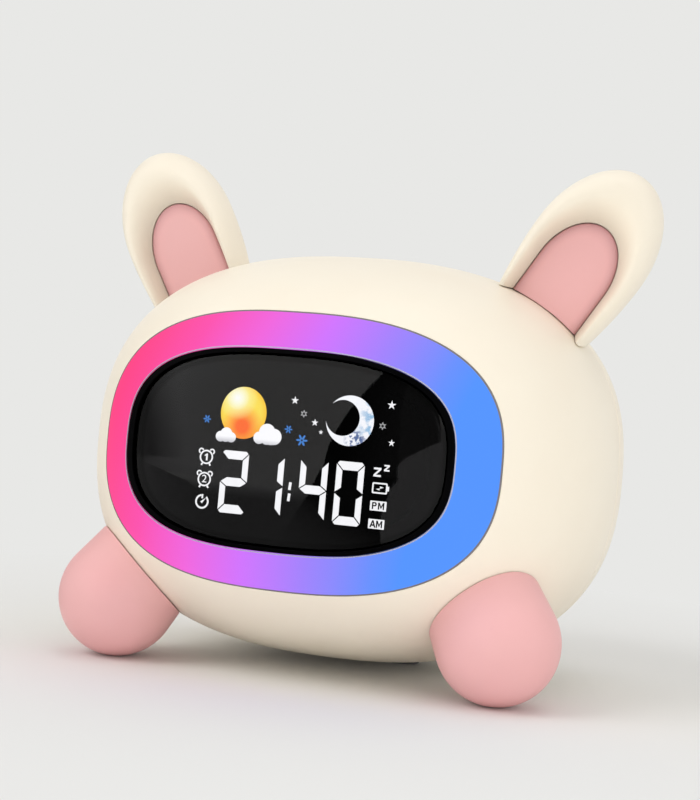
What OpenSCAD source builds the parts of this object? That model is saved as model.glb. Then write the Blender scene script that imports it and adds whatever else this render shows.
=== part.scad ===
// Bedside clock with a night light: an egg-shaped body with two ears, on two ball feet.
// The display looks towards -Y, +X is to the right as seen from the front, +Z is up.
// The origin is the middle of the rubber base pad, on the surface that the clock stands on.

/* [Body] */
// Width of the body at the seam between its two shells
body_w = 134; // [124:1:146]
// Height of the body at the seam
body_h = 104; // [98:1:112]
// How far the front dome stands out from the seam
front_depth = 71; // [67:1:77]
// How deep the rear dome would be if it were not cut off flat
back_depth = 44; // [42:1:50]
// How far behind the seam the flat back lies
back_flat = 33; // [32:0.5:36]
// Squareness of the body's outline from the front (2 is an ellipse)
outline_n = 2.47; // [2.3:0.01:2.7]
// Squareness of the front dome's profile
front_m = 2.33; // [2.2:0.01:2.5]
// Squareness of the rear dome's profile
back_m = 2.43; // [2.2:0.01:2.6]
// Wall thickness of the shells
wall = 2.4; // [2:0.1:2.8]
// Angle that the body leans back, in degrees
lean = 2.3; // [0:0.1:4]
// Gap between the body's lowest point and the surface below
ground_gap = 1; // [0.8:0.1:1.4]
// How far the seam lies in front of the base pad's middle
seam_forward = 4.9; // [4.5:0.1:6]

/* [Light ring] */
// Width of the glowing ring
ring_w = 100; // [94:0.5:104]
// Height of the glowing ring
ring_h = 65.3; // [60:0.1:68]
// Width of the ring's window
window_w = 82.7; // [78:0.1:86]
// Height of the ring's window
window_h = 48; // [44:0.5:52]
// Squareness of the ring's outer edge
ring_n = 2.64; // [2.4:0.01:2.9]
// Squareness of the ring's inner edge
window_n = 2.77; // [2.4:0.01:3]
// Height of the ring's middle above the body's middle
ring_up = 0.6; // [0:0.1:2]
// Thickness of the ring's diffuser
ring_t = 3.6; // [3.4:0.1:4.2]

/* [Display] */
// Width of the black rim round the display
rim_w = 1.4; // [1.2:0.1:2.2]
// Depth of the lens below the rim's front edge
lens_sink = 0.5; // [0.4:0.1:1.5]
// Thickness of the lens
lens_t = 2; // [1.5:0.1:2.2]
// Distance from the seam to the lit face of the display
display_y = 57.4; // [56:0.1:58]
// Width of the display's lit face
display_w = 66; // [62:1:68]
// Height of the display's lit face
display_h = 37; // [34:1:38]

/* [Ears] */
// Angle of each ear's root round the body, up from its widest point, in degrees
ear_place = 41.2; // [38:0.1:44]
// Angle that each ear splays from upright, in degrees
ear_splay = 31.5; // [28:0.1:34]
// Height of an ear above its root
ear_len = 41.9; // [38:0.1:46]
// Greatest width of an ear
ear_w = 31; // [28:0.1:34]
// Width of an ear at its root
ear_root_w = 26.8; // [26:0.1:28]
// Thickness of an ear
ear_t = 15; // [13:0.5:17]
// How far the middle of an ear lies in front of the seam
ear_forward = 8.3; // [8:0.1:10]
// Height of the pink liner above the ear's root
liner_len = 26.1; // [22:0.1:30]
// Width of the pink liner
liner_w = 19.8; // [16:0.1:20.5]
// Thickness of the pink liner
liner_t = 1.4; // [1:0.1:2]

/* [Feet] */
// Diameter of each ball foot
foot_d = 30; // [29:0.1:32]
// How far inside the body's side each foot's middle lies
foot_inset = 17.6; // [16:0.1:20]
// How far the feet's middles lie in front of the seam
foot_forward = 41; // [39:0.1:43]
// Height that is flattened off each foot where it stands
foot_flat = 0.3; // [0.2:0.1:0.6]
// Width of the rubber base pad
pad_w = 34; // [28:1:38]
// Depth of the rubber base pad, front to back
pad_d = 9; // [7:0.5:9]
// Thickness of the rubber base pad
pad_t = 2.2; // [2:0.1:2.4]

/* [Back panel] */
// Diameter of each push button
button_d = 6.4; // [5:0.1:7]
// Distance between neighbouring buttons
button_pitch = 10; // [9.2:0.1:10.4]
// How far a button can be pushed in
button_travel = 0.8; // [0.4:0.1:0.9]
// How far the power switch's knob slides
switch_travel = 3; // [2:0.1:3.6]
// Thickness of the back panel
panel_t = 2; // [1.6:0.1:2.2]
// Diameter of the loudspeaker
speaker_d = 32; // [28:1:34]

/* [Electronics] */
// Diameter of the battery cell
cell_d = 18.4; // [17:0.1:19]
// Length of the battery cell
cell_len = 65; // [60:1:66]
// Thickness of the circuit boards
board_t = 1.6; // [1:0.1:2]
// Number of light-emitting diodes under the ring
led_count = 20; // [12:2:24]

/* [Hidden] */

// Fits
seat_gap = 0.15;
edge_gap = 0.2;
skin_gap = 0.3;
slide_gap = 0.15;

// Colours
cream = [0.96, 0.91, 0.84];
pink = [0.94, 0.71, 0.71];
glow = [0.75, 0.5, 0.98];
black = [0.05, 0.05, 0.06];
white = [0.95, 0.95, 0.93];
board_green = [0.1, 0.4, 0.22];
steel = [0.7, 0.71, 0.73];
rubber_grey = [0.3, 0.3, 0.32];

// Body
body_z = body_h / 2 + ground_gap;
columns = 72;
column_step = 360 / columns;
rows = 8;
tongue_len = 1.5;
envelope_inset = wall / 2;
envelope_step = 10;
envelope_overrun = 5;
pole_share = 0.12;

// Back opening, as shares of the body's outline
rim_share = pow(1 - pow(back_flat / back_depth, back_m), 1 / back_m);
rim_flat_w = 4;
ledge_w = 3.6;
ledge_t = 2;
panel_recess = 0.4;
panel_share = rim_share - rim_flat_w / (body_w / 2);
ledge_share = panel_share - ledge_w / (body_w / 2);
panel_in = back_flat - panel_recess - panel_t;
ledge_back = panel_in - seat_gap;

// Screws that join the two shells
case_angle = 21;
case_share = 0.85;
case_boss_r = 3.6;
case_post_r = 4.3;
case_head_r = 2.6;
case_head_t = 2;
case_screw_r = 1.4;
case_screw_len = 20;
case_seat_y = 8;
boss_end_y = -1;

// Screws that hold the reflector, on short bosses outside the ring
lug_angle = 34;
lug_out = 2.7;
lug_r = 2.3;
lug_boss_r = 2.1;
small_screw_r = 1;
small_head_r = 1.9;
small_head_t = 1.3;
clear_bore = 0.3;

// Light ring and reflector
ring_lip = 2;
reflector_wall = 1.4;
reflector_ledge = 4;
reflector_depth = 6.6;
floor_t = 1.8;
floor_y = front_y([ring_w / 2 + ring_lip, ring_up]) + ring_t + reflector_depth;
led_w = 2.8;
led_t = 1.4;
led_board_t = 1;
led_share = 0.45;

// Display
rim_rebate = 0.8;
flange_setback = 4.4;
display_flange_y = flange_setback - display_y;

// Main board and what it carries
main_board_w = 92;
main_board_h = 54;
main_board_y = floor_y + 8;
board_corner = 4;
main_post = [39.5, 19];
post_r = 2.7;
post_bore_depth = 5;
main_screw_bite = 4;
button_screw_bite = 3;
cell_z = -13;
holder_wall = 1.5;
holder_lift = 1;

// Button board and what it carries
button_names = ["set", "down", "up", "mode", "light", "sound"];
button_board_w = 60;
button_board_h = 21;
button_board_z = -16.5;
button_row_z = -11;
lower_row_z = -22;
board_post_x = 26.5;
board_post_z = -20.5;
tact_w = 6;
tact_t = 2.5;
plunger_r = 1.7;
plunger_t = 0.5;
press_gap = 0.3;
button_flange_w = 1;
button_flange_t = 1.1;
button_proud = 1.6;
button_hole_gap = 0.2;
switch_x = -13;
switch_size = [9, 4];
switch_body_t = 3.35;
knob = [2.4, 2];
knob_proud = 1.2;
usb_x = 13;
usb_w = 9;
usb_h = 3.2;
usb_skin = 0.3;
usb_sunk = 0.3;
usb_floor_t = 1;
tongue_w = 6.6;
tongue_h = 0.7;
tongue_sunk = 1;

// Screws of the back panel
panel_screw_angle = 20;
panel_screw_share = 0.62;
panel_boss_r = 3;
panel_boss_len = 7;
panel_screw_len = 6;
panel_bore_depth = 1.2;

// Loudspeaker
speaker_z = 12.5;
collar_t = 1.5;
collar_len = 4;

// Ears
ear_sink = 1.5;
ear_yaw = 7;
ear_pitch = 1.3;
ear_waist = 19.3;
liner_waist = 12.2;
rim_peak = 0.55;
bowl_depth = 4.6;
ear_columns = 24;
ear_rows = 15;

// Legs
leg_turn = 60;
leg_rise = 54;
leg_taper = 5;
foot_screw_turn = 40;
foot_screw_rise = 27;
leg_columns = 32;
leg_rows = 12;

// A power that keeps its base's sign out of the way
function share_pow(value, power) = pow(max(0, value), power);

// Superellipse in the XZ plane: the point at polar angle t
function oval(half_w, half_h, n, t) =
    let(r = pow(pow(abs(cos(t)) / half_w, n) + pow(abs(sin(t)) / half_h, n), -1 / n))
    [r * cos(t), r * sin(t)];

function outline(t, share = 1, inset = 0) =
    share * oval(body_w / 2 - inset, body_h / 2 - inset, outline_n, t);
function ring_oval(t, grow = 0) =
    oval(ring_w / 2 + grow, ring_h / 2 + grow, ring_n, t) + [0, ring_up];
function window_oval(t, grow = 0) =
    oval(window_w / 2 + grow, window_h / 2 + grow, window_n, t) + [0, ring_up];
function display_oval(t) =
    oval(display_w / 2, display_h / 2, window_n, t) + [0, ring_up];

// How far the XZ point p lies out to the body's outline: 0 in the middle and 1 on it
function spread(p, inset = 0) =
    pow(pow(abs(p[0]) / (body_w / 2 - inset), outline_n)
      + pow(abs(p[1]) / (body_h / 2 - inset), outline_n), 1 / outline_n);

// Depth of the body's surface, moved in by inset, above the XZ point p
function front_y(p, inset = 0) =
    -(front_depth - inset) * share_pow(1 - pow(spread(p, inset), front_m), 1 / front_m);
function at_front(p, inset = 0, behind = 0) = [p[0], front_y(p, inset) + behind, p[1]];
function at_depth(p, y) = [p[0], y, p[1]];

// Points down a dome from the seam to the XZ point p
function dome_run(p, depth, m, inset, side) =
    let(q = spread(p, inset), last = acos(pow(q, m / 2)))
    [for (j = [0:rows])
        let(f = last * j / rows, ratio = share_pow(cos(f), 2 / m) / q)
        [p[0] * ratio, side * (depth - inset) * share_pow(sin(f), 2 / m), p[1] * ratio]];
function front_run(p, inset) = dome_run(p, front_depth, front_m, inset, -1);
function back_run(p, inset) = dome_run(p, back_depth, back_m, inset, 1);

function reversed(list) = [for (i = [len(list) - 1:-1:0]) list[i]];
function without_first(list) = [for (i = [1:len(list) - 1]) list[i]];
function seam_point(t, inset, y) = at_depth(outline(t, 1, inset), y);
function mix(a, b, f) = a + (b - a) * f;

// 1 where the point p of the body's frame is on its surface grown by grow, less inside
function body_level(p, grow = 0) =
    let(m = p[1] < 0 ? front_m : back_m,
        depth = p[1] < 0 ? front_depth : back_depth,
        q = spread([p[0], p[2]], -grow))
    pow(q, m) + pow(abs(p[1]) / (depth + grow), m);

// Rotations of a point
function turned_x(p, a) = [p[0], p[1] * cos(a) - p[2] * sin(a), p[1] * sin(a) + p[2] * cos(a)];
function turned_y(p, a) = [p[0] * cos(a) + p[2] * sin(a), p[1], p[2] * cos(a) - p[0] * sin(a)];
function turned_z(p, a) = [p[0] * cos(a) - p[1] * sin(a), p[0] * sin(a) + p[1] * cos(a), p[2]];

// Carries its children from the body's frame to the clock's
module in_body() {
    translate([0, -seam_forward, body_z]) rotate([-lean, 0, 0]) children();
}

// Places its children at (x, z) of the body's frame, with their Z along the body's +Y
module along_y(x, y, z) {
    translate([x, y, z]) rotate([-90, 0, 0]) children();
}

module at_both_sides() {
    children();
    mirror([1, 0, 0]) children();
}

// Draws its children, made in the XZ plane, as a slab from y0 to y1
module slab(y0, y1) {
    translate([0, y1, 0]) rotate([90, 0, 0]) linear_extrude(y1 - y0) children();
}

module rounded_rect(w, h, r) {
    union() {
        square([w - 2 * r, h], center = true);
        square([w, h - 2 * r], center = true);
        for (x = [-1, 1], z = [-1, 1])
            translate([x * (w / 2 - r), z * (h / 2 - r)]) circle(r, $fn = 32);
    }
}

// Solid ring from closed profiles, one for each column
module profile_ring(profiles) {
    count = len(profiles);
    size = len(profiles[0]);
    faces = [for (i = [0:count - 1], j = [0:size - 1])
        let(a = i * size, b = ((i + 1) % count) * size, k = (j + 1) % size)
        each [[a + j, b + j, b + k], [a + j, b + k, a + k]]];
    polyhedron([for (profile = profiles, p = profile) p], faces, convexity = 6);
}

// Solid between two poles from open profiles that run from the first pole to the second
module profile_cap(pole_a, profiles, pole_b) {
    count = len(profiles);
    size = len(profiles[0]);
    last = count * size;
    faces = [for (i = [0:count - 1])
        let(a = i * size, b = ((i + 1) % count) * size)
        each concat([[last, b, a], [last + 1, a + size - 1, b + size - 1]],
            [for (j = [0:size - 2])
                each [[a + j, b + j, b + j + 1], [a + j, b + j + 1, a + j + 1]]])];
    polyhedron([each [for (profile = profiles, p = profile) p], pole_a, pole_b], faces);
}

function column_angles() = [for (i = [0:columns - 1]) i * column_step];

// Solid of one dome's inside half way through the wall, which trims bosses
module front_envelope() {
    profile_cap([0, envelope_inset - front_depth, 0],
        [for (t = [0:envelope_step:360 - envelope_step])
            concat(reversed(front_run(outline(t, pole_share), envelope_inset)),
                [seam_point(t, envelope_inset, envelope_overrun)])],
        [0, envelope_overrun, 0]);
}

module back_envelope() {
    profile_cap([0, -envelope_overrun, 0],
        [for (t = [0:envelope_step:360 - envelope_step])
            concat([seam_point(t, envelope_inset, -envelope_overrun)],
                back_run(outline(t, pole_share), envelope_inset))],
        [0, back_depth - envelope_inset, 0]);
}

function case_spot() = outline(case_angle, case_share);
function lug_spot() =
    oval(ring_w / 2 + ring_lip + lug_out, ring_h / 2 + ring_lip + lug_out, ring_n, lug_angle);
function panel_spot() = outline(panel_screw_angle, panel_screw_share);

// Places its children at the four points that mirror spot about the height up
module at_four(spot, y, up = 0) {
    for (sx = [-1, 1], sz = [-1, 1]) along_y(sx * spot[0], y, up + sz * spot[1]) children();
}

// Seats worked out from the values above
lug_y = floor_y + floor_t;
board_rear_y = main_board_y + board_t;
cell_y = board_rear_y + holder_wall + seat_gap + cell_d / 2;
panel_out = back_flat - panel_recess;
plunger_y = panel_in - slide_gap - button_flange_t - button_travel - press_gap;
button_board_rear = plunger_y - plunger_t - tact_t;
button_board_front = button_board_rear - board_t;
bezel_edge = -edge_gap;
rebate_edge = bezel_edge - rim_rebate;
lens_edge = rebate_edge - seat_gap;
foot_r = foot_d / 2;
screw_bite = 0.05;
fixing_boss_r = 4;
fixing_boss_len = 6;
fixing_screw_r = 1.3;
fixing_screw_len = 15;
fixing_head_r = 2.4;
fixing_head_t = 1.7;
bore_spare = 0.5;

module screw(r, length, head_r, head_t) {
    slot = [1.2 * head_r, 0.28 * head_r, head_t];
    difference() {
        union() {
            translate([0, 0, -length]) cylinder(r = r, h = length, $fn = 24);
            cylinder(r = head_r, h = head_t, $fn = 32);
        }
        for (turn = [0, 90]) rotate(turn) translate([0, 0, head_t]) cube(slot, center = true);
    }
}

// Ears. An ear's own frame has X across it, Y towards its back and Z up its length.
function ear_root() =
    let(p = outline(ear_place))
    at_depth(p * (1 - ear_sink / norm(p)), -ear_forward);
function from_ear(p) =
    ear_root() + turned_z(turned_x(turned_y(p, ear_splay), -ear_pitch), ear_yaw);
module in_ear() {
    translate(ear_root()) rotate([0, 0, ear_yaw]) rotate([-ear_pitch, 0, 0]) rotate([0, ear_splay, 0])
        children();
}

// Height up the ear at which the point (x, y) of its frame meets the body
function ear_foot(x, y, low = -ear_t, high = ear_t / 2, tries = 24) =
    let(mid = (low + high) / 2)
    tries == 0 ? mid
    : body_level(from_ear([x, y, mid]), skin_gap) < 1 ? ear_foot(x, y, mid, high, tries - 1)
    : ear_foot(x, y, low, mid, tries - 1);

function ear_half(z) = z < ear_waist
    ? ear_w / 2 - (ear_w - ear_root_w) / 2 * pow((ear_waist - z) / ear_waist, 2)
    : ear_w / 2 * share_pow(1 - pow((z - ear_waist) / (ear_len - ear_waist), 2), 0.5);

// 1 on the ear's outline and on the liner's, and less inside them
function ear_level(x, z) = z < ear_waist
    ? abs(x) / ear_half(z)
    : norm([x / (ear_w / 2), (z - ear_waist) / (ear_len - ear_waist)]);
function liner_level(x, z) =
    norm([x / (liner_w / 2), max(0, z - liner_waist) / (liner_len - liner_waist)]);

// How far the ear's bowl and rim stand in front of its middle plane
function ear_front(x, z) =
    let(past_liner = max(0, liner_level(x, z) - 1) * liner_w,
        to_edge = max(0, 1 - ear_level(x, z)) * ear_w,
        f = past_liner / max(0.001, past_liner + to_edge),
        floor_h = ear_t / 2 - bowl_depth)
    f > rim_peak
        ? ear_t / 2 * share_pow(1 - pow((f - rim_peak) / (1 - rim_peak), 2), 0.5)
        : floor_h + bowl_depth * pow(sin(90 * f / rim_peak), 2);
function ear_back(x, z) = ear_t / 2 * share_pow(1 - share_pow(ear_level(x, z), 2.6), 1 / 2.6);

ear_low_rows = 5;
ear_cap_rows = 3;
function ear_z(j) = j <= ear_low_rows
    ? ear_waist * j / ear_low_rows
    : ear_waist + (ear_len - ear_waist) * sin(90 * (j - ear_low_rows) / (ear_rows - ear_low_rows));
function ear_x(i, z) = -ear_half(z) * cos(180 * i / ear_columns);
function ear_point(i, j, face) =
    let(z = ear_z(j), x = ear_x(i, z), edge = i == 0 || i == ear_columns,
        y = edge ? 0 : mix(-ear_front(x, z), ear_back(x, z), face))
    [x, y, j == 0 ? ear_foot(x, y) : z];

// Vertex numbers: the front and the edges first, then the back, then the root's cap
ear_back_first = ear_rows * (ear_columns + 1);
ear_cap_first = ear_back_first + ear_rows * (ear_columns - 1);
ear_tip = ear_cap_first + ear_cap_rows * (ear_columns - 1);
function ear_edge(i) = i == 0 || i == ear_columns;
function front_vertex(i, j) = j * (ear_columns + 1) + i;
function back_vertex(i, j) =
    ear_edge(i) ? front_vertex(i, j) : ear_back_first + j * (ear_columns - 1) + i - 1;
function cap_vertex(i, k) =
    ear_edge(i) || k == 0 ? front_vertex(i, 0)
    : k > ear_cap_rows ? back_vertex(i, 0)
    : ear_cap_first + (k - 1) * (ear_columns - 1) + i - 1;
function triangle(a, b, c) = a == b || b == c || a == c ? [] : [[a, b, c]];
function quad(a, b, c, d) = concat(triangle(a, b, c), triangle(a, c, d));

module ear_body() {
    points = concat(
        [for (j = [0:ear_rows - 1], i = [0:ear_columns]) ear_point(i, j, 0)],
        [for (j = [0:ear_rows - 1], i = [1:ear_columns - 1]) ear_point(i, j, 1)],
        [for (k = [1:ear_cap_rows], i = [1:ear_columns - 1]) ear_point(i, 0, k / (ear_cap_rows + 1))],
        [[0, 0, ear_len]]);
    faces = concat(
        [for (j = [0:ear_rows - 2], i = [0:ear_columns - 1]) each
            quad(front_vertex(i, j), front_vertex(i, j + 1),
                 front_vertex(i + 1, j + 1), front_vertex(i + 1, j))],
        [for (j = [0:ear_rows - 2], i = [0:ear_columns - 1]) each
            quad(back_vertex(i, j), back_vertex(i + 1, j),
                 back_vertex(i + 1, j + 1), back_vertex(i, j + 1))],
        [for (i = [0:ear_columns - 1])
            [front_vertex(i, ear_rows - 1), ear_tip, front_vertex(i + 1, ear_rows - 1)]],
        [for (i = [0:ear_columns - 1])
            [back_vertex(i + 1, ear_rows - 1), ear_tip, back_vertex(i, ear_rows - 1)]],
        [for (k = [0:ear_cap_rows], i = [0:ear_columns - 1]) each
            quad(cap_vertex(i, k), cap_vertex(i + 1, k),
                 cap_vertex(i + 1, k + 1), cap_vertex(i, k + 1))]);
    polyhedron(points, faces, convexity = 4);
}

// Outline of the liner, drawn gap inside its edge, from its foot up round its tip
liner_floor = ear_t / 2 - bowl_depth;
function liner_arc(gap) =
    [for (a = [0:7.5:180])
        [(liner_w / 2 - gap) * cos(a), liner_waist + (liner_len - liner_waist - gap) * sin(a)]];
function liner_foot(x) = max(ear_foot(x, -liner_floor), ear_foot(x, liner_t - liner_floor));
module liner_outline(gap) {
    half = liner_w / 2 - gap;
    polygon(concat(liner_arc(gap), [for (x = [-half:half / 6:half + 0.01]) [x, liner_foot(x)]]));
}

ear_screw_y = 2;
function ear_seat() = [0, ear_screw_y, ear_foot(0, ear_screw_y) - fixing_boss_len];

module ear() {
    color(cream) in_ear() difference() {
        ear_body();
        slab(-liner_floor - ear_t, liner_t - liner_floor)
            polygon(concat(liner_arc(0), [[-liner_w / 2, -ear_t], [liner_w / 2, -ear_t]]));
        translate(ear_seat())
            cylinder(r = fixing_screw_r + screw_bite, h = fixing_screw_len + bore_spare, $fn = 24);
    }
}

module ear_liner() {
    color(pink) in_ear() slab(-liner_floor, liner_t - liner_floor) liner_outline(seat_gap);
}

// Legs. Each is a ball with a neck that tapers into the body along the leg's axis.
function foot_middle() =
    turned_x([body_w / 2 - foot_inset, -foot_forward, foot_r - foot_flat - body_z], lean);
function inwards(turn, rise) = [-sin(turn) * cos(rise), cos(turn) * cos(rise), sin(rise)];
function leg_axis() = inwards(leg_turn, leg_rise);
function leg_side(turn) =
    let(across = cross(leg_axis(), [0, 0, 1]), a = across / norm(across), b = cross(a, leg_axis()))
    a * cos(turn) + b * sin(turn);

// The point at s along a leg's outline, from the ball's far pole, over the ball and up the neck
function leg_arc() = foot_r * (90 + leg_taper) * PI / 180;
function leg_point(turn, s) =
    let(u = leg_axis(), v = leg_side(turn), a = min(s, leg_arc()) / foot_r * 180 / PI)
    foot_middle() + foot_r * (v * sin(a) - u * cos(a))
        + max(0, s - leg_arc()) * (u * cos(leg_taper) - v * sin(leg_taper));
function leg_end(turn, low = 0, high = 2 * foot_d, tries = 24) =
    let(mid = (low + high) / 2)
    tries == 0 ? mid
    : body_level(leg_point(turn, mid), skin_gap) < 1 ? leg_end(turn, low, mid, tries - 1)
    : leg_end(turn, mid, high, tries - 1);

// The point p moved along the direction u onto the body
function landing(p, u, low = -foot_d, high = foot_d, tries = 24) =
    let(mid = (low + high) / 2)
    tries == 0 ? p + u * mid
    : body_level(p + u * mid, skin_gap) < 1 ? landing(p, u, low, mid, tries - 1)
    : landing(p, u, mid, high, tries - 1);
function leg_top() = landing(foot_middle(), leg_axis());

// The screw that holds a leg runs past the posts in the shell, so it has a direction of its own
function foot_screw_axis() = inwards(foot_screw_turn, foot_screw_rise);
function foot_screw_top() = landing(foot_middle(), foot_screw_axis());

module leg_body() {
    top = leg_top();
    profile_cap(leg_point(0, 0), [for (i = [0:leg_columns - 1])
        let(turn = 360 * i / leg_columns, end = leg_end(turn), rim = leg_point(turn, end))
        concat([for (j = [1:leg_rows]) leg_point(turn, end * j / leg_rows)],
            [for (f = [1, 2]) landing(mix(rim, top, f / 3), leg_axis())])], top);
}

// Places its children at p with their Z along the direction u
module along_axis(p, u) {
    translate(p) rotate([0, acos(u[2] / norm(u)), atan2(u[1], u[0])]) children();
}

module foot() {
    color(pink) difference() {
        in_body() difference() {
            leg_body();
            along_axis(foot_screw_top(), -foot_screw_axis())
                translate([0, 0, -fixing_boss_len])
                    cylinder(r = fixing_screw_r + screw_bite, h = fixing_screw_len + bore_spare, $fn = 24);
        }
        translate([0, 0, -foot_d]) cube([2 * body_w, 2 * body_w, 2 * foot_d], center = true);
    }
}

// Shells
small_boss_depth = 5.5;
function inner_back_run(t) =
    let(y = ledge_back - ledge_t,
        share = pow(1 - pow(y / (back_depth - wall), back_m), 1 / back_m))
    back_run(outline(t, share, wall), wall);

module pad_outline(gap) {
    half = (pad_w - pad_d) / 2;
    union() {
        square([2 * half, pad_d + 2 * gap], center = true);
        for (x = [-half, half]) translate([x, 0]) circle(pad_d / 2 + gap, $fn = 32);
    }
}

module front_bosses() {
    at_four(case_spot(), -front_depth) cylinder(r = case_boss_r, h = front_depth + boss_end_y, $fn = 32);
    at_four(lug_spot(), -front_depth, ring_up)
        cylinder(r = lug_boss_r, h = front_depth + floor_y - seat_gap, $fn = 32);
    at_both_sides() {
        in_ear() translate(ear_seat()) cylinder(r = fixing_boss_r, h = 2 * fixing_boss_len, $fn = 32);
        along_axis(foot_screw_top() + foot_screw_axis() * fixing_boss_len, -foot_screw_axis())
            cylinder(r = fixing_boss_r, h = 2 * fixing_boss_len, $fn = 32);
    }
}

module front_bores() {
    at_four(case_spot(), boss_end_y - case_screw_len)
        cylinder(r = case_screw_r + screw_bite, h = case_screw_len + 1, $fn = 24);
    at_four(lug_spot(), floor_y - small_boss_depth, ring_up)
        cylinder(r = small_screw_r + screw_bite, h = small_boss_depth + 1, $fn = 24);
    at_both_sides() {
        in_ear() translate(ear_seat() - [0, 0, 1])
            cylinder(r = fixing_screw_r + clear_bore, h = 3 * fixing_boss_len, $fn = 24);
        along_axis(foot_screw_top() + foot_screw_axis() * (fixing_boss_len + 1), -foot_screw_axis())
            cylinder(r = fixing_screw_r + clear_bore, h = 3 * fixing_boss_len, $fn = 24);
    }
}

module front_shell() {
    color(cream) in_body() difference() {
        union() {
            profile_ring([for (t = column_angles())
                let(edge = ring_oval(t, edge_gap))
                concat([seam_point(t, (wall + edge_gap) / 2, -skin_gap / 2),
                        seam_point(t, (wall + edge_gap) / 2, tongue_len),
                        seam_point(t, wall, tongue_len)],
                    without_first(front_run(edge, wall)),
                    reversed(without_first(front_run(edge, 0))),
                    [seam_point(t, 0, -skin_gap / 2)])]);
            intersection() {
                front_bosses();
                front_envelope();
            }
        }
        front_bores();
    }
}

module back_shell() {
    color(cream) difference() {
        in_body() difference() {
            union() {
                profile_ring([for (t = column_angles())
                    let(edge = outline(t, rim_share))
                    concat([seam_point(t, 0, skin_gap / 2)], without_first(back_run(edge, 0)),
                        [at_depth(outline(t, panel_share), back_flat),
                         at_depth(outline(t, panel_share), ledge_back),
                         at_depth(outline(t, ledge_share), ledge_back),
                         at_depth(outline(t, ledge_share), ledge_back - ledge_t)],
                        reversed(without_first(inner_back_run(t))),
                        [seam_point(t, wall, tongue_len + skin_gap),
                         seam_point(t, (wall - edge_gap) / 2, tongue_len + skin_gap),
                         seam_point(t, (wall - edge_gap) / 2, skin_gap / 2)])]);
                intersection() {
                    at_four(case_spot(), boss_end_y + skin_gap)
                        cylinder(r = case_post_r, h = back_depth, $fn = 32);
                    back_envelope();
                }
                at_four(panel_spot(), ledge_back - panel_boss_len)
                    cylinder(r = panel_boss_r, h = panel_boss_len, $fn = 32);
            }
            at_four(case_spot(), -back_depth)
                cylinder(r = case_screw_r + clear_bore, h = 2 * back_depth, $fn = 24);
            at_four(case_spot(), case_seat_y)
                cylinder(r = case_head_r + clear_bore, h = back_depth, $fn = 32);
            at_four(panel_spot(), panel_out - panel_bore_depth - panel_screw_len - bore_spare)
                cylinder(r = small_screw_r + screw_bite, h = back_depth, $fn = 24);
        }
        translate([0, 0, -pad_t]) linear_extrude(2 * pad_t) pad_outline(seat_gap);
    }
}

module base_pad() {
    color(rubber_grey) linear_extrude(pad_t) pad_outline(0);
}

// Front group: ring, reflector, display
ring_bands = 4;
module light_ring() {
    color(glow) in_body() profile_ring([for (t = column_angles())
        let(outer = ring_oval(t), lip = ring_oval(t, ring_lip), inner = window_oval(t))
        concat([for (k = [ring_bands:-1:0]) at_front(mix(outer, inner, k / ring_bands))],
            [at_front(outer, wall, skin_gap), at_front(lip, wall, skin_gap), at_front(lip, ring_t)],
            [for (k = [0:ring_bands]) at_front(mix(outer, inner, k / ring_bands), ring_t)])]);
}

module reflector_lug() {
    reach = norm(lug_spot());
    union() {
        translate(lug_spot()) circle(lug_r, $fn = 32);
        rotate(lug_angle) translate([reach - 2 * lug_r, -lug_r]) square([2 * lug_r, 2 * lug_r]);
    }
}

module ring_reflector() {
    color(white) in_body() difference() {
        union() {
            profile_ring([for (t = column_angles())
                let(inside = window_oval(t, seat_gap), inner = window_oval(t, seat_gap + reflector_wall),
                    outer = ring_oval(t, ring_lip - reflector_wall), outside = ring_oval(t, ring_lip),
                    hole = window_oval(t, -reflector_ledge))
                [at_depth(hole, floor_y), at_depth(inside, floor_y), at_front(inside, ring_t, seat_gap),
                 at_front(inner, ring_t, seat_gap), at_depth(inner, floor_y), at_depth(outer, floor_y),
                 at_front(outer, ring_t, seat_gap), at_front(outside, ring_t, seat_gap),
                 at_depth(outside, lug_y), at_depth(hole, lug_y)]]);
            slab(floor_y, lug_y) translate([0, ring_up]) for (sx = [0, 1], sz = [0, 1])
                mirror([sx, 0]) mirror([0, sz]) reflector_lug();
            at_four(main_post, lug_y - 1) cylinder(r = post_r, h = main_board_y - lug_y + 1, $fn = 32);
        }
        at_four(lug_spot(), floor_y - 1, ring_up)
            cylinder(r = small_screw_r + clear_bore, h = floor_t + 2, $fn = 24);
        at_four(main_post, main_board_y - post_bore_depth)
            cylinder(r = small_screw_r + screw_bite, h = post_bore_depth + 1, $fn = 24);
    }
}

module ring_led_board() {
    color(board_green) in_body() slab(floor_y - led_board_t, floor_y) difference() {
        polygon([for (t = column_angles()) ring_oval(t, ring_lip - reflector_wall - edge_gap)]);
        polygon([for (t = column_angles()) window_oval(t, seat_gap + reflector_wall + edge_gap)]);
    }
}

module ring_leds() {
    color("lightyellow") in_body() for (k = [0:led_count - 1])
        let(t = 360 * (k + 0.5) / led_count, p = mix(ring_oval(t), window_oval(t), led_share))
        translate([p[0], floor_y - led_board_t - led_t / 2, p[1]])
            cube([led_w, led_t, led_w], center = true);
}

module display_bezel() {
    color(black) in_body() profile_ring([for (t = column_angles())
        let(outer = window_oval(t, bezel_edge), inner = window_oval(t, bezel_edge - rim_w),
            rebate = window_oval(t, rebate_edge))
        [at_depth(outer, floor_y), at_depth(rebate, floor_y), at_front(rebate, lens_sink),
         at_front(inner, lens_sink), at_front(inner), at_front(mix(outer, inner, 0.5)), at_front(outer)]]);
}

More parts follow.
